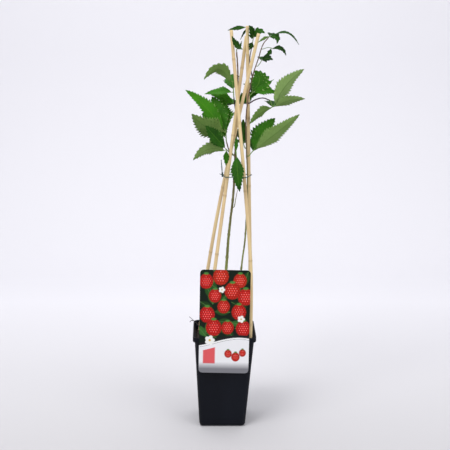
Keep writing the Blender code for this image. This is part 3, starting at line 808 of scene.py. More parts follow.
class Plant:
    """Stems, boughs, twig and every mass of leaves."""

    relief = 0.12
    scar_reach = 2.6
    scars_main = (231, 286, 326, 369, 436, 472, 520, 606)
    scars_second = (246, 304, 371, 452, 519, 618, 668)

    def __init__(self) -> None:
        """Lay out the stems and boughs."""
        line = [(-1.2, 3, GROUND), (8.1, 3, 304), (12.8, 2, 369), (20.2, 1, 436)]
        line += [(23.5, 2, 482), (25.2, 9, 531), (27.4, 13, 566), (28.8, 10.5, 605)]
        line += [(29.3, 9, 642), (29.2, 9, 678), (27.2, 8, 711)]
        self.main = tapered(line, 3.2, 1.2, flare=1.2)
        line = [(24, 0, GROUND), (36.9, 0, 304), (44.6, 0, 371), (48, 0, 474), (45.8, 0, 531), (44.6, 0, 587)]
        line += [(48.2, 0, 624), (55.4, 0, 664), (66.2, 0, 697), (74.4, -1, 723), (84.2, -2, 736)]
        self.second = tapered(line, 1.9, 0.9, flare=0.9)
        line = [*beside(self.main, 520, (-1, -0.75, 0)), (13, 0.4, 531), (8.5, 3, 546)]
        self.left = tapered(line, 1.6, 1.1)
        line = [*beside(self.main, 606, (-1, -0.3, 0)), (23.6, 7.6, 616), (22.2, 6, 628)]
        self.arch = tapered(line, 1.2, 1.0)
        line = [*beside(self.second, 618, (1, 0.1, 0)), (62, 4, 624), (76, 8, 627), (88, 12, 623)]
        self.right = tapered(line, 1.3, 1.0)
        line = [*beside(self.second, 668, (-0.5, 0.9, 0)), (51.4, 10, 697), (54.6, 7, 719)]
        self.top = tapered(line, 1.1, 0.8)
        self.masses: list[Foliage] = []

    def knotted(self, limb: Limb, knots: Sequence[float], swell: float) -> Limb:
        """Swell a stem at its leaf scars.

        Args:
            limb: The stem.
            knots: Heights of the scars.
            swell: How far they stand out.

        Returns:
            The stem with its scars.
        """
        radii = []
        for point, radius in zip(limb.path, limb.radii):
            near = sum(math.exp(-(((point.z - knot) / self.scar_reach) ** 2)) for knot in knots)
            radii.append(radius + swell * near)
        return Limb(limb.path, radii)

    def build_limb(self, node: str, limbs: Sequence[Limb], finish: Any, slot: Slot, sides: int = 10) -> None:
        """Build one stem or bough with its relief.

        Args:
            node: The solid that it stands for.
            limbs: Its lines.
            finish: Its material.
            slot: Its material slot.
            sides: Points round it.
        """
        buffer = MeshBuffer()
        for limb in limbs:
            rooted = limb.path[0].z < GROUND + 1
            rings = tube_rings(limb, sides, self.relief * limb.radii[0], rooted)
            buffer.loft(rings, along=np.repeat(np.linspace(0, 1, len(limb.path)), sides))
        place(buffer.build("vis_" + node, finish), slot, node)

    def build(self) -> None:
        """Build every limb and mass."""
        bark, shoot, dry = GREEN_BARK.build(), PURPLE_BARK.build(), DRY_BARK.build()
        self.leaf, self.young = FULL_LEAF.build(), YOUNG_LEAF.build()
        line = [at_height(self.main, 421), (23.0, -1, 423), (26, -4.5, 440), (29.1, -5, 456)]
        spur = tapered(line, 0.9, 0.5)
        main = self.knotted(self.main, self.scars_main, 0.7)
        second = self.knotted(self.second, self.scars_second, 0.45)
        self.build_limb("stem_main", [main, spur], bark, Slot.BARK, 14)
        self.build_limb("stem_second", [second], bark, Slot.BARK, 14)
        self.build_limb("bough_left", [self.left], bark, Slot.BARK)
        self.build_limb("bough_left_upper", [self.arch], shoot, Slot.SHOOT)
        self.build_limb("bough_right", [self.right], shoot, Slot.SHOOT)
        self.build_limb("bough_top", [self.top], shoot, Slot.SHOOT)
        bend = (-57, 41, 187.2)
        twig = tapered([(-40, 36, GROUND), (-49, 38.5, 180), bend, (-65.2, 43, 194.4)], 1.0, 0.45)
        prong = tapered([bend, (-61.5, 42, 186.6), (-64.8, 42.5, 183.4)], 0.8, 0.4)
        self.build_limb("dry_twig", [twig, prong], dry, Slot.DRY, 8)
        self.lay_left()
        self.lay_right()
        self.lay_back()
        self.lay_top()
        for mass in self.masses:
            mass.build()

    def add(self, node: str, points: Sequence[Any], leaflets: list[Leaflet], size: float = 1.0) -> None:
        """Add one mass with the next seed.

        Args:
            node: The solid that it stands for.
            points: The line of its stem.
            leaflets: Its blades.
            size: Radius of its stem.
        """
        finish = self.young if node.startswith("leaves_top") else self.leaf
        stem = tapered(points, size, size * 0.85, 3.0)
        self.masses.append(Foliage(node, stem, leaflets, finish, len(self.masses) + 1))

    def lay_left(self) -> None:
        """Lay out the masses on the left and in the middle."""
        joint: Any = (19.5, 3.5, 658)
        leaflets = [
            Leaflet(joint, (-52, -22, 4), 30, (0, 0.7, 0.7), (2, 0, 20)),
            Leaflet((21.6, 5.4, 638), (-54, 30, -5), 26, (0, -0.6, 0.8), (0, 0, 2)),
            Leaflet((21.3, 5, 642), (-6, 52, 26), 30, (-0.3, -0.5, 0.8), (0, 0, 5)),
        ]
        self.add("leaves_left_upper", [*after(self.arch), (21, 4.8, 645), joint], leaflets)
        joint, lower = (7.5, 6, 562), (8, 4.6, 553)
        leaflets = [
            Leaflet(joint, (-74, -20, 80), 36, (0.25, -0.8, 0.6), (4, 0, 4)),
            Leaflet(joint, (-62, -42, 38), 50, (0.1, 0.9, 0.35), (0, -2, -9)),
            Leaflet(joint, (-1, 30, 60), 50, (-0.1, -0.95, 0.3), (-8, 4, 2)),
            Leaflet(lower, (-38, 58, 22), 42, (0.2, -0.5, 0.85), (0, 0, 4)),
            Leaflet(joint, (-26, 27, 66), 38, (-0.1, -0.9, 0.35), (0, 2, 4)),
            Leaflet(lower, (-46, 30, 42), 34, (0.1, -0.85, 0.5), (0, 2, 4)),
        ]
        self.add("leaves_left_middle", [*after(self.left), joint], leaflets)
        joint = (8.5, -13, 533)
        leaflets = [
            Leaflet(joint, (-38, -27, 46), 30, (0.1, -0.9, 0.45), (-3, -3, 3)),
            Leaflet(joint, (-61, -20, -17), 34, (0, 0.8, 0.6), (0, 0, 11)),
            Leaflet(joint, (-1, 2, -30), 12, (-0.2, -0.9, 0.1)),
        ]
        self.add("leaves_left_lower", [*beside(self.left, 529, (-0.5, -0.85, 0)), joint], leaflets)
        joint = (26.5, -27, 527)
        leaflets = [
            Leaflet(joint, (6, -16, -68), 25, (0, -0.95, 0.3), (-1, -4, 0)),
            Leaflet((26.3, -22, 530), (0, 9, 27), 8, (0, -0.95, 0.3)),
        ]
        self.add("leaves_centre", [*beside(self.main, 524, (0.1, -1, 0)), (26, -16, 531), joint], leaflets)

    def lay_right(self) -> None:
        """Lay out the masses on the right."""
        joint: Any = (56.5, 15, 637)
        leaflets = [
            Leaflet(joint, (5, 26, 39), 46, (0.1, -0.95, 0.3), (11, 2, 0)),
            Leaflet(joint, (41, 20, 23), 7, (0, -0.8, 0.6)),
            Leaflet(joint, (46, 10, -2), 22, (0, -0.8, 0.6), (0, 0, 4)),
            Leaflet(joint, (10, 62, 14), 38, (-0.2, -0.5, 0.85), (0, 0, 6)),
        ]
        points = [*beside(self.second, 633, (1, 0.2, 0)), (56, 6, 636), joint]
        self.add("leaves_right_upper", points, leaflets)
        joint = (94.4, 16, 610)
        leaflets = [
            Leaflet(joint, (59, 14, 69), 36, (-0.3, 0.85, 0.35), (-5, 0, 4)),
            Leaflet(joint, (58, -24, 16), 24, (0, 0.8, 0.55), (0, 0, 4)),
            Leaflet(joint, (-43, -22, -30), 26, (0, 0.75, 0.65), (0, 0, 5)),
            Leaflet(joint, (-36, 26, -18), 12, (0.1, -0.7, 0.7), (0, 0, 1)),
            Leaflet(joint, (14, 56, 4), 40, (-0.2, -0.4, 0.9), (0, 0, 6)),
        ]
        self.add("leaves_right_middle", [*after(self.right), joint], leaflets)
        joint = (56.5, 3, 527)
        leaflets = [
            Leaflet(joint, (85, -34, 72), 34, (0.2, 0.75, 0.6), (-2, 0, -2)),
            Leaflet(joint, (44, 34, 60), 42, (-0.2, -0.9, 0.4), (-2, 4, 3)),
            Leaflet(joint, (26, 62, 20), 38, (0, -0.4, 0.9), (0, 0, 5)),
        ]
        self.add("leaves_right_lower", [*beside(self.second, 519, (1, 0.1, 0)), joint], leaflets)

    def lay_back(self) -> None:
        """Lay out the masses behind the stems."""
        rng = random.Random(8)
        joint: Any = (40.5, 30, 541)
        leaflets = spread_leaflets(joint, (0, 0.55, 0.9), (0, -0.9, 0.45), (50, 30), 0, rng)
        leaflets += spread_leaflets(joint, (-0.05, 1, 0.1), (0, -0.1, 1), (56, 34), 0, rng)
        points = [*beside(self.second, 534, (-0.6, 0.8, 0)), (42, 12, 536), joint]
        self.add("leaves_back_lower", points, leaflets)
        joint = (24, 40, 614)
        leaflets = spread_leaflets(joint, (-0.25, 0.9, 0.2), (0, -0.35, 0.9), (52, 32), 1, rng)
        leaflets += [
            Leaflet(joint, (-48, 2, 20), 22, (0, -0.9, 0.4), (0, 0, 3)),
            Leaflet(joint, (44, 4, 20), 22, (0, -0.9, 0.4), (0, 0, 3)),
        ]
        self.add("leaves_back_left", [*beside(self.main, 596, (-0.2, 1, 0)), (25, 26, 604), joint], leaflets)

    def lay_top(self) -> None:
        """Lay out the young leaves at the top."""
        leaflets = [
            Leaflet((37, -9, 716), (-19, -20, 23), 15, (0.3, -0.9, 0.4), (-2, 0, -3)),
            Leaflet((32, -3, 716.3), (4, 1, 14), 4, (0, -0.9, 0.3)),
        ]
        self.add("leaves_top_left", [*after(self.main), (28, 2, 716.5), (38, -10, 716)], leaflets, 0.8)
        joint: Any = (57.5, 4.5, 738)
        leaflets = [
            Leaflet(joint, (-8, -14, 20), 14, (0.2, -0.9, 0.4), (0, -2, 2)),
            Leaflet(joint, (20, -10, 7), 18, (0.2, -0.9, 0.5), (0, 0, 5)),
            Leaflet((57.5, 4.5, 736), (-9, -13, 5), 9, (0, -0.9, 0.4)),
            Leaflet((56.2, 5.5, 729), (-6, -12, -14), 11, (0.3, -0.9, 0.2)),
            Leaflet((46, 10, 756), (-35, -4, -6), 9, (0, -0.9, 0.4), (0, 0, 1)),
            Leaflet((47, 10, 755.5), (-13, 5, -22), 4, (0, -0.9, 0.4), (0, 0, 1)),
            Leaflet((57.5, 4.5, 737), (4, 26, 4), 15, (0, -0.3, 0.9), (0, 0, 2)),
        ]
        points = [*after(self.top), (57, 4.5, 733), (58, 5, 743), (52, 9.5, 753), (45, 10, 756)]
        self.add("leaves_top_centre", points, leaflets, 0.7)
        leaflets = [
            Leaflet((87.2, -3.4, 739.4), (52, -13, -15), 9, (0, -0.5, 0.9), (2, 0, 14)),
            Leaflet((87.2, -4.2, 739.2), (13, -8, -13), 15, (0.3, -0.9, 0.4), (5, 0, 5)),
            Leaflet((87.2, -4.4, 739.4), (-21, -12, -11), 7, (0, 0.8, 0.5), (0, 0, 1)),
            Leaflet((87.2, -3.4, 739.4), (6, 27, 4), 14, (0, -0.3, 0.9), (0, 0, 3)),
        ]
        self.add("leaves_top_right", [*after(self.second), (87.4, -4.5, 739.6)], leaflets, 0.7)
        joint = (91, 5.8, 718)
        leaflets = [
            Leaflet(joint, (27, 4, -13), 12, (0, -0.7, 0.7), (3, 0, 6)),
            Leaflet(joint, (-13, 0, -17), 9, (0, -0.9, 0.4), (3, 0, 0)),
        ]
        points = [*beside(self.second, 717, (1, 0.4, 0)), (84, 4, 719), (92, 6, 718)]
        self.add("leaves_top_fork", points, leaflets, 0.6)
        joint = (72.8, 2, 696)
        leaflets = [
            Leaflet(joint, (20, -10, 1), 16, (0, -0.9, 0.4), (0, 0, 3)),
            Leaflet(joint, (-2, 24, 6), 13, (0, -0.3, 0.9), (0, 0, 2)),
        ]
        points = [*beside(self.second, 686, (1, 0.3, 0)), (71, 3, 692), (73, 2, 697)]
        self.add("leaves_top_side", points, leaflets, 0.7)


# Canes and tie


@dataclass
class Tie:
    """The wire drawn round the canes, its knot and its two loose ends."""

    height: float = 482.0
    wire: float = 0.8
    bend_steps: int = 8
    sides: int = 12
    knot_place: float = 0.4
    knot_rough: float = 0.3

    def build(self, canes: Sequence[Limb], cane: float) -> None:
        """Build the wire.

        Args:
            canes: The canes.
            cane: How far the wire's bends clear their middles.
        """
        corners = [at_height(limb, self.height) for limb in canes]
        middle = sum(corners, Vector()) / len(corners)
        corners.sort(key=lambda point: math.atan2(point.y - middle.y, point.x - middle.x))
        path = []
        for before, corner, following in zip([corners[-1], *corners], corners, [*corners[1:], corners[0]]):
            arrive = (corner - before).normalized().cross(UP)
            leave = (following - corner).normalized().cross(UP)
            for step in range(self.bend_steps + 1):
                path.append(corner + (cane + GAP + self.wire) * arrive.slerp(leave, step / self.bend_steps))
        rings = []
        for i, point in enumerate(path):
            out = (path[(i + 1) % len(path)] - path[i - 1]).normalized().cross(UP)
            ring = [point + self.wire * (math.cos(t) * out - math.sin(t) * UP) for t in circle(self.sides)]
            rings.append([tuple(spot) for spot in reversed(ring)])
        buffer = MeshBuffer()
        buffer.loft(np.array(rings), closed=True)
        runs = zip(path, path[1:])
        start, end = min(runs, key=lambda run: (run[0] + run[1]).x - (run[0] - run[1]).length)
        knot = end.lerp(start, self.knot_place) + Vector((-self.wire, 0, 0))
        ends = [
            tapered([knot + Vector((0, 0, -3.5)), knot + Vector((0, 0, 5))], 1.6, 1.5, 1.0),
            tapered([knot, knot + Vector((-1, -1, 14)), knot + Vector((-2.2, -2, 29))], 1.0, 0.7),
            tapered([knot, knot + Vector((-5.5, -3, 2.5))], 0.8, 0.5),
        ]
        for loose in ends:
            buffer.loft(tube_rings(loose, 10, self.knot_rough))
        place(buffer.build("vis_tie_wire", WireFinish().build()), Slot.WIRE, "tie_wire")


@dataclass
class Canes:
    """Four bamboo canes with raised joints."""

    foot: float = 3.5
    tip: float = 3.0
    seat: float = 145.3
    joints: int = 5
    joint_start: float = 0.45
    joint_shift: float = 9.0
    swell: float = 0.36
    swell_reach: float = 2.4
    mark_reach: float = 1.6
    rough: float = 0.10
    sides: int = 20
    spacing: float = 3.0

    def lines(self) -> dict[str, list[Triple]]:
        """The line of each cane by its node.

        Returns:
            Named points, from the foot in the soil to the tip.
        """
        left, right = (-44.4, 45.2, self.seat), (50.6, 44, self.seat)
        near_left, near_right = (-34, -48, self.seat), (50.6, -45.5, self.seat)
        return {
            "cane_back_left": [left, (-43.6, 44.5, 174), (-27.6, 30, 297), (6.4, 14, 482), (66.6, -13, 744)],
            "cane_front_left": [
                near_left, (-30.6, -45, 178), (-13.2, -32, 312), (10.1, -13, 482), (44.9, 14, 740)
            ],
            "cane_front_right": [
                near_right, (53.6, -45, 176), (54.1, -32, 312), (41.3, -19, 482), (16.9, -8, 750)
            ],
            "cane_back_right": [right, (53.4, 42, 174), (54.6, 30, 297), (51.1, 16, 482), (46.3, 2, 758)],
        }

    def build(self) -> None:
        """Build the canes and the tie."""
        bamboo = BambooFinish().build()
        limbs = []
        for name, points in self.lines().items():
            limb = tapered(points, self.foot, self.tip, self.spacing)
            low, high = limb.path[0].z, limb.path[-1].z
            joints = []
            for joint in range(1, self.joints + 1):
                even = low + (high - low) * (joint - self.joint_start) / self.joints
                joints.append(even + self.joint_shift * math.sin(5 * joint + points[0][0]))
            marks = []
            for k, point in enumerate(limb.path):
                near = min(abs(point.z - joint) for joint in joints)
                marks.append(math.exp(-((near / self.mark_reach) ** 2)))
                limb.radii[k] += self.swell * math.exp(-((near / self.swell_reach) ** 2))
            buffer = MeshBuffer()
            buffer.loft(tube_rings(limb, self.sides, self.rough, True), joint=np.repeat(marks, self.sides))
            place(buffer.build("vis_" + name, bamboo), Slot.BAMBOO, name)
            limbs.append(limb)
        Tie().build(limbs, self.foot * 1.12)


# Pot, soil and label


@dataclass
class Pot:
    """The tapered square pot, its rim band and the soil in it."""

    height: float = 183.0
    rim: float = 60.0
    band: float = 9.5
    rim_wall: float = 2.0
    shoulder: float = 56.2
    foot: float = 44.0
    wall: float = 1.6
    floor: float = 4.0
    rim_shift: float = 3.8
    far_lag: float = 0.02
    corner_steps: int = 9
    pad: float = 12.0
    stud: float = 4.0
    stud_place: float = 27.0
    soil_rings: int = 24
    soil_heap: float = 2.6
    soil_sink: float = 0.6
    soil_middle: float = 3.5
    clod: float = 1.5
    clod_grain: float = 0.16
    lump: float = 0.8
    lump_grain: float = 0.5
    crease: float = 40.0

    def ring(self, half: float, corner: float, height: float) -> list[Triple]:
        """A rounded square at one height, where the leaning pot holds it.

        Args:
            half: Half its width.
            corner: Its corner radius.
            height: Its height.

        Returns:
            Its points, counter-clockwise.
        """
        points = []
        for turn, (sx, sy) in enumerate(((1, 1), (-1, 1), (-1, -1), (1, -1))):
            for step in range(self.corner_steps + 1):
                angle = math.radians(90 * turn + 90 * step / self.corner_steps)
                x = sx * (half - corner) + corner * math.cos(angle)
                y = sy * (half - corner) + corner * math.sin(angle)
                points.append((x + (self.rim_shift - self.far_lag * y) * height / self.height, y, height))
        return points

    def body(self, height: float) -> float:
        """Half the outer width at a height below the band."""
        return self.foot + (self.shoulder - self.foot) * height / (self.height - self.band)

    def build(self) -> None:
        """Build the pot, its feet and the soil."""
        rim, top, band = self.rim, self.height, self.height - self.band
        profile = [(self.foot - 4, 4, 0.8), (self.foot - 1.2, 6, 2.0), (self.body(4), 7, 4.8)]
        profile += [(self.body(z), 7 + 3 * z / top, z) for z in (20, 60, 100, 140, band - 2.5)]
        profile += [(self.body(band) + 0.2, 10, band - 1.2), (rim - 0.8, 10, band - 0.2)]
        profile += [(rim - 0.1, 10, band + 0.8), (rim, 10, top - 1.2), (rim - 0.3, 9.7, top - 0.3)]
        profile += [(rim - 0.8, 9.2, top), (rim - 1.4, 8.6, top), (rim - self.rim_wall, 8, top - 0.5)]
        profile += [(rim - 2.5, 8, band + 1.5), (self.body(band) - self.wall, 8.4, band - 1.5)]
        profile += [(self.body(self.floor) - self.wall, 5.4, self.floor)]
        buffer = MeshBuffer()
        buffer.loft(np.array([self.ring(*row) for row in profile]))
        out = self.stud_place
        studs = [(x, y, self.stud) for x, y in ((out, out), (-out, out), (out, -out), (-out, -out))]
        for x, y, radius in [(0, 0, self.pad), *studs]:
            rows = ((radius - 0.4, 0.0), (radius, 0.4), (radius, 2.0))
            rings = [[(x + r * math.cos(t), y + r * math.sin(t), z) for t in circle(24)] for r, z in rows]
            buffer.loft(np.array(rings))
        item = buffer.build("vis_pot", PotFinish().build())
        item.data.set_sharp_from_angle(angle=math.radians(self.crease))
        place(item, Slot.POT, "pot")
        self.build_soil()

    def build_soil(self) -> None:
        """Build the soil with its uneven, crumbly top."""
        low, edge, inset = self.floor + GAP, SOIL_TOP - 3.0, self.wall + GAP
        half = self.body(edge) - inset
        rings = [self.ring(self.body(low) - inset, 5, low), self.ring(half, 8, edge - 1.5)]
        for k in range(self.soil_rings):
            share = 1 - k / self.soil_rings
            ring = []
            for x, y, _ in self.ring(half, 8, edge):
                x, y = self.soil_middle + (x - self.soil_middle) * share, y * share
                heap = self.soil_heap * (1 - share**6) - self.soil_sink
                clods = self.clod * noise.noise(Vector((x, y, 0)) * self.clod_grain)
                clods += self.lump * noise.noise(Vector((x, y, 9)) * self.lump_grain)
                ring.append((x, y, edge + heap + clods))
            rings.append(ring)
        buffer = MeshBuffer()
        buffer.loft(np.array(rings))
        soil = buffer.build("vis_soil", SoilFinish().build())
        Crumbs().scatter(soil)
        place(soil, Slot.SOIL, "soil")


@dataclass
class Crumbs:
    """Loose crumbs of soil, strewn over its level faces."""

    density: float = 60000.0
    seed: int = 7
    size: float = 0.0016
    level: float = 0.6
    widest_turn: Triple = (6.28, 6.28, 6.28)
    smallest: Triple = (0.35, 0.25, 0.2)
    largest: Triple = (1.3, 1.0, 0.8)

    def scatter(self, soil: bpy.types.Object) -> None:
        """Strew the crumbs over the soil's level faces.

        Args:
            soil: The soil.
        """
        tree = bpy.data.node_groups.new("crumbs", "GeometryNodeTree")
        sockets = {}
        kinds = {"Geometry": "Geometry", "Density": "Float", "Seed": "Int", "Size": "Float"}
        for name, kind in kinds.items():
            sockets[name] = tree.interface.new_socket(name, in_out="INPUT", socket_type="NodeSocket" + kind)
        tree.interface.new_socket("Geometry", in_out="OUTPUT", socket_type="NodeSocketGeometry")
        new = tree.nodes.new
        start, end, join = new("NodeGroupInput"), new("NodeGroupOutput"), new("GeometryNodeJoinGeometry")
        normal, split = new("GeometryNodeInputNormal"), new("ShaderNodeSeparateXYZ")
        level, points = new("FunctionNodeCompare"), new("GeometryNodeDistributePointsOnFaces")
        crumb, lay = new("GeometryNodeMeshIcoSphere"), new("GeometryNodeInstanceOnPoints")
        turn, scale = new("FunctionNodeRandomValue"), new("FunctionNodeRandomValue")
        real, paint = new("GeometryNodeRealizeInstances"), new("GeometryNodeSetMaterial")
        level.operation = "GREATER_THAN"
        level.inputs[1].default_value = self.level
        points.distribute_method = "RANDOM"
        crumb.inputs["Subdivisions"].default_value = 1
        turn.data_type = scale.data_type = "FLOAT_VECTOR"
        turn.inputs[1].default_value = self.widest_turn
        scale.inputs[0].default_value = self.smallest
        scale.inputs[1].default_value = self.largest
        paint.inputs["Material"].default_value = soil.data.materials[0]
        for source, out, target, into in (
            (normal, 0, split, 0),
            (split, 2, level, 0),
            (start, "Geometry", points, "Mesh"),
            (level, 0, points, "Selection"),
            (start, "Density", points, "Density"),
            (start, "Seed", points, "Seed"),
            (start, "Size", crumb, "Radius"),
            (points, "Points", lay, "Points"),
            (crumb, "Mesh", lay, "Instance"),
            (turn, 0, lay, "Rotation"),
            (scale, 0, lay, "Scale"),
            (lay, 0, real, 0),
            (real, 0, paint, "Geometry"),
            (start, "Geometry", join, 0),
            (paint, 0, join, 0),
            (join, 0, end, 0),
        ):
            tree.links.new(source.outputs[out], target.inputs[into])
        step = soil.modifiers.new("crumbs", "NODES")
        step.node_group = tree
        for name, value in (("Density", self.density), ("Seed", self.seed), ("Size", self.size)):
            step[sockets[name].identifier] = value
        made = bpy.data.meshes.new_from_object(soil.evaluated_get(bpy.context.evaluated_depsgraph_get()))
        soil.modifiers.clear()
        soil.data = made


@dataclass
class Print:
    """The card's print in linear colours, laid down shape by shape, in millimetres from the card's middle."""

    x: np.ndarray
    z: np.ndarray
    shade: Triple = (0.004, 0.012, 0.006)
    white: Triple = (0.80, 0.80, 0.82)
    soft: float = 0.8
    seed: int = 21
    leaves: int = 26
    colour: np.ndarray = field(init=False)

    def __post_init__(self) -> None:
        """Lay down the dark ground."""
        self.colour = np.ones((*self.x.shape, 3)) * self.shade

    def blend(self, mask: np.ndarray, paint: Any) -> None:
        """Lay paint over the print, as much as the mask says."""
        self.colour += np.clip(mask, 0, 1)[..., None] * (np.array(paint) - self.colour)

    def leaf(self, rng: random.Random) -> None:
        """Draw one green leaf with its midrib.

        Args:
            rng: Seeded draws.
        """
        cx, cz, turn = rng.uniform(-45, 45), rng.uniform(-30, 98), rng.uniform(0, math.pi)
        along = (self.x - cx) * math.cos(turn) + (self.z - cz) * math.sin(turn)
        side = np.abs((self.z - cz) * math.cos(turn) - (self.x - cx) * math.sin(turn))
        edge = 7 * np.clip(1 - (along / 15) ** 2, 0, 1) * (1 + 0.12 * np.sin(along * 3)) - side
        light = rng.uniform(0.15, 0.9)
        self.blend(edge / 0.7, (0.035 * light, 0.14 * light, 0.025 * light))
        self.blend((1 - side / 0.5) * (edge > 0), (0.12, 0.26, 0.07))

    def blossom(self, cx: float, cz: float, size: float) -> None:
        """Draw one white blossom of five petals.

        Args:
            cx: Its middle across.
            cz: Its middle up.
            size: Its radius.
        """
        x, z = self.x - cx, self.z - cz
        far = np.hypot(x, z) / size
        edge = 0.72 + 0.28 * np.abs(np.cos(2.5 * np.arctan2(z, x)))
        self.blend((edge - far) * size / self.soft, (0.84, 0.84, 0.80))
        self.blend((0.26 - far) * size / self.soft, (0.62, 0.42, 0.05))

    def berry(self, cx: float, cz: float, size: float, tone: float) -> None:
        """Draw one red berry made of round grains, with its green cap.

        Args:
            cx: Its middle across.
            cz: Its middle up.
            size: Its radius.
            tone: How light it is.
        """
        x, z = (self.x - cx) / size, (self.z - cz) / (size * 1.12)
        far = np.hypot(x, z)
        grain, step = 0.30, 0.30 * 0.86
        row = np.round(z / step)
        shift = np.where(row % 2 == 0, 0.0, grain / 2)
        off_x, off_z = x - shift - np.round((x - shift) / grain) * grain, z - row * step
        near = np.hypot(off_x, off_z) / (grain * 0.62)
        light = np.clip(1.15 - near**2, 0.12, 1) * np.clip(1.15 - 0.55 * far, 0.2, 1)
        red = np.stack([0.75 * light, (0.018 + 0.02 * tone) * light, 0.016 * light], axis=-1)
        glint = np.clip(1 - np.hypot(off_x + 0.04, off_z - 0.05) / 0.06, 0, 1)
        red += 0.5 * (glint * (far < 0.6))[..., None]
        self.blend((1 - far) * size / self.soft, red)
        self.blend((0.42 - np.hypot(x, (z - 0.98) * 2.2)) * 6, (0.07, 0.22, 0.04))

    def draw(self) -> np.ndarray:
        """Draw everything, from the leaves behind to the pale panel in front.

        Returns:
            The colours.
        """
        rng = random.Random(self.seed)
        for _ in range(self.leaves):
            self.leaf(rng)
        for row in range(4):
            for col in range(3):
                cx = -28 + 29 * col + (9 if row % 2 else -5) + rng.uniform(-5, 5)
                cz = 80 - 32 * row + 9 * (col % 2) + rng.uniform(-5, 5)
                self.berry(cx, cz, rng.uniform(12.0, 15.5), rng.random())
        x, z = self.x, self.z
        edge = -42 + 9 * np.sin(x / 30 + 0.6)
        self.blend((edge - z) / self.soft, self.white)
        self.blend(3 - 3 * np.abs(z - edge - 1.5) / 1.6, (0.9, 0.9, 0.9))
        self.blend(3 - 3 * np.abs(z - edge - 6.0) / 2.4, (0.012, 0.012, 0.012))
        self.blend((12 - np.abs(x + 28)) / 1.5 * (z < edge - 8) * (z > -82), (0.70, 0.10, 0.11))
        for cx, cz, size in ((8, -62, 7.5), (22, -68, 8.5), (35, -60, 7.0)):
            self.berry(cx, cz, size, 0.6)
        for cx, cz, size in ((-27, -36, 10.0), (31, 6, 7.5), (-6, 62, 6.5)):
            self.blossom(cx, cz, size)
        self.blend((-78 - z) / 14, (0.20, 0.20, 0.22))
        return self.colour


@dataclass
class Label:
    """The picture label: a printed card with rounded corners, and the hook that holds it on the rim."""

    width: float = 94.0
    height: float = 200.0
    corner: float = 6.8
    thick: float = 0.8
    back: float = -60.4
    centre: Triple = (4.6, 0, 215.0)
    lean: float = 1.2
    columns: int = 118
    rows: int = 236
    plain: float = 0.70
    hook_half: float = 12.0
    hook_thick: float = 0.9
    hook_drop: float = 7.5
    rim_taper: float = 0.6
    crease: float = 35.0

    def build(self) -> None:
        """Build the card and its hook."""
        zs = np.linspace(-self.height / 2, self.height / 2, self.rows)
        over = np.clip(np.abs(zs) - self.height / 2 + self.corner, 0, self.corner)
        halves = self.width / 2 - self.corner + np.sqrt(np.maximum(self.corner**2 - over**2, 0))
        x = halves[:, None] * np.linspace(-1, 1, self.columns)[None, :]
        z = np.repeat(zs[:, None], self.columns, axis=1)
        lean = np.array(Matrix.Rotation(math.radians(self.lean), 3, "Y"))
        front = np.stack([x, np.zeros_like(x), z], axis=-1) @ lean.T + np.array(self.centre)
        back = front.copy()
        front[..., 1] = self.back - self.thick
        back[..., 1] = self.back
        ink = np.ones((self.rows, 2 * self.columns, 4))
        ink[:, : self.columns, :3] = Print(x, z).draw()
        ink[:, self.columns :, :3] = self.plain
        buffer = MeshBuffer()
        buffer.loft(np.concatenate([front, back[:, ::-1]], axis=1), print=ink)
        seat, inner = Pot.height + GAP, Pot.rim_wall + self.rim_taper + GAP + self.hook_thick - Pot.rim
        bridge = (self.back - 0.2, inner, seat, seat + self.hook_thick)
        tongue = (inner - self.hook_thick, inner, seat - self.hook_drop, seat + self.hook_thick / 2)
        left, right = self.centre[0] - self.hook_half, self.centre[0] + self.hook_half
        for near, far, low, high in (bridge, tongue):
            corners = ((left, near), (right, near), (right, far), (left, far))
            rings = np.array([[(cx, cy, level) for cx, cy in corners] for level in (low, high)])
            buffer.loft(rings, print=np.full((2, 4, 4), self.plain))
        item = buffer.build("vis_label_card", CardFinish().build())
        item.data.set_sharp_from_angle(angle=math.radians(self.crease))
        place(item, Slot.CARD, "label_card")


# Stage


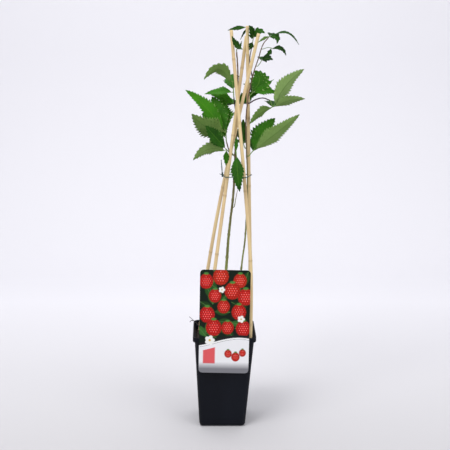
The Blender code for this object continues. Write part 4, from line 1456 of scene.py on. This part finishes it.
@dataclass
class Stage:
    """Pale floor that sweeps up into the background, with painted shade that darkens it towards the camera,
    soft light and the camera.
    """

    eye: Triple = (5.6, -1700.0, 712.3)
    pitch: float = 10.8
    focal: float = 910.7
    picture: float = 450.0
    sensor: float = 36.0
    # The floor colour is a painted shade: the paper darkens from the wall tone to it towards the camera, over
    # the fade's span in metres.
    floor_painted_shade: Triple = (0.480, 0.470, 0.475)
    wall_tone: Triple = (0.84, 0.83, 0.86)
    shade_fade: tuple[float, float] = (-0.45, 0.85)
    air: Triple = (0.93, 0.94, 1.0)
    air_strength: float = 0.64
    half_width: float = 3600.0
    near: float = -2200.0
    bend_start: float = 1100.0
    bend: float = 700.0
    bend_steps: int = 12
    wall_top: float = 3600.0
    drop: float = 0.2

    def build(self) -> None:
        """Build the floor, the lights and the camera."""
        self.build_floor()
        self.add_light("key", (-0.9, -1.2, 2.1), 1.0, 27.0)
        self.add_light("fill", (1.3, -1.3, 1.2), 1.4, 12.0)
        self.add_light("back_wash", (0.0, 0.3, 2.4), 1.8, 16.0)
        world = bpy.data.worlds.new("studio")
        world.use_nodes = True
        background = world.node_tree.nodes["Background"]
        background.inputs[0].default_value = (*self.air, 1.0)
        background.inputs[1].default_value = self.air_strength
        bpy.context.scene.world = world
        bpy.context.scene.view_settings.view_transform = "Standard"
        lens = bpy.data.cameras.new("view")
        lens.sensor_width = self.sensor
        lens.lens = self.sensor * self.focal / self.picture
        camera = bpy.data.objects.new("view", lens)
        camera.location = Vector(self.eye) * MM
        camera.rotation_euler = (math.radians(90 - self.pitch), 0, 0)
        bpy.context.scene.collection.objects.link(camera)
        bpy.context.scene.camera = camera

    def build_floor(self) -> None:
        """Build the sweep of paper, with a painted shade that darkens it near the camera."""
        shader = Shader("paper_sweep")
        # Painted shade: the paper's colour runs from the darker floor colour near the camera to the wall tone
        # further back.
        lit_share = shader.split(shader.coordinates())[1].between(*self.shade_fade)
        tone = shader.mix(lit_share, self.floor_painted_shade, self.wall_tone)
        profile = [(self.near, -self.drop)]
        for step in range(self.bend_steps + 1):
            angle = math.pi / 2 * step / self.bend_steps
            y = self.bend_start + self.bend * math.sin(angle)
            profile.append((y, self.bend - self.bend * math.cos(angle) - self.drop))
        profile.append((self.bend_start + self.bend, self.wall_top))
        xs = np.linspace(-self.half_width, self.half_width, 9)
        points = [(x * MM, y * MM, z * MM) for y, z in profile for x in xs]
        faces = []
        for row in range(len(profile) - 1):
            for low in range(row * len(xs), (row + 1) * len(xs) - 1):
                faces.append((low, low + 1, low + len(xs) + 1, low + len(xs)))
        mesh = bpy.data.meshes.new("sweep")
        mesh.from_pydata(points, [], faces)
        mesh.shade_smooth()
        mesh.materials.append(shader.finish(Base_Color=tone, Roughness=0.9))
        sweep = bpy.data.objects.new("sweep", mesh)
        bpy.context.scene.collection.objects.link(sweep)

    def add_light(self, name: str, where: Triple, size: float, power: float) -> None:
        """Add a soft light that faces the plant.

        Args:
            name: Its name.
            where: Where it hangs, in metres.
            size: Its width in metres.
            power: Its power in watts.
        """
        crown = Vector((0.03, 0, 0.4))
        lamp = bpy.data.lights.new(name, "AREA")
        lamp.shape = "SQUARE"
        lamp.size = size
        lamp.energy = power
        item = bpy.data.objects.new(name, lamp)
        item.location = where
        item.rotation_euler = (crown - Vector(where)).to_track_quat("-Z", "Y").to_euler()
        bpy.context.scene.collection.objects.link(item)


def main() -> None:
    """Build every piece in order."""
    logging.basicConfig(level=logging.INFO, format="%(message)s")
    for piece in (Pot(), Label(), Canes(), Plant(), Stage()):
        LOG.info("building %s", type(piece).__name__)
        piece.build()
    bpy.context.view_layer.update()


if __name__ == "__main__":
    main()
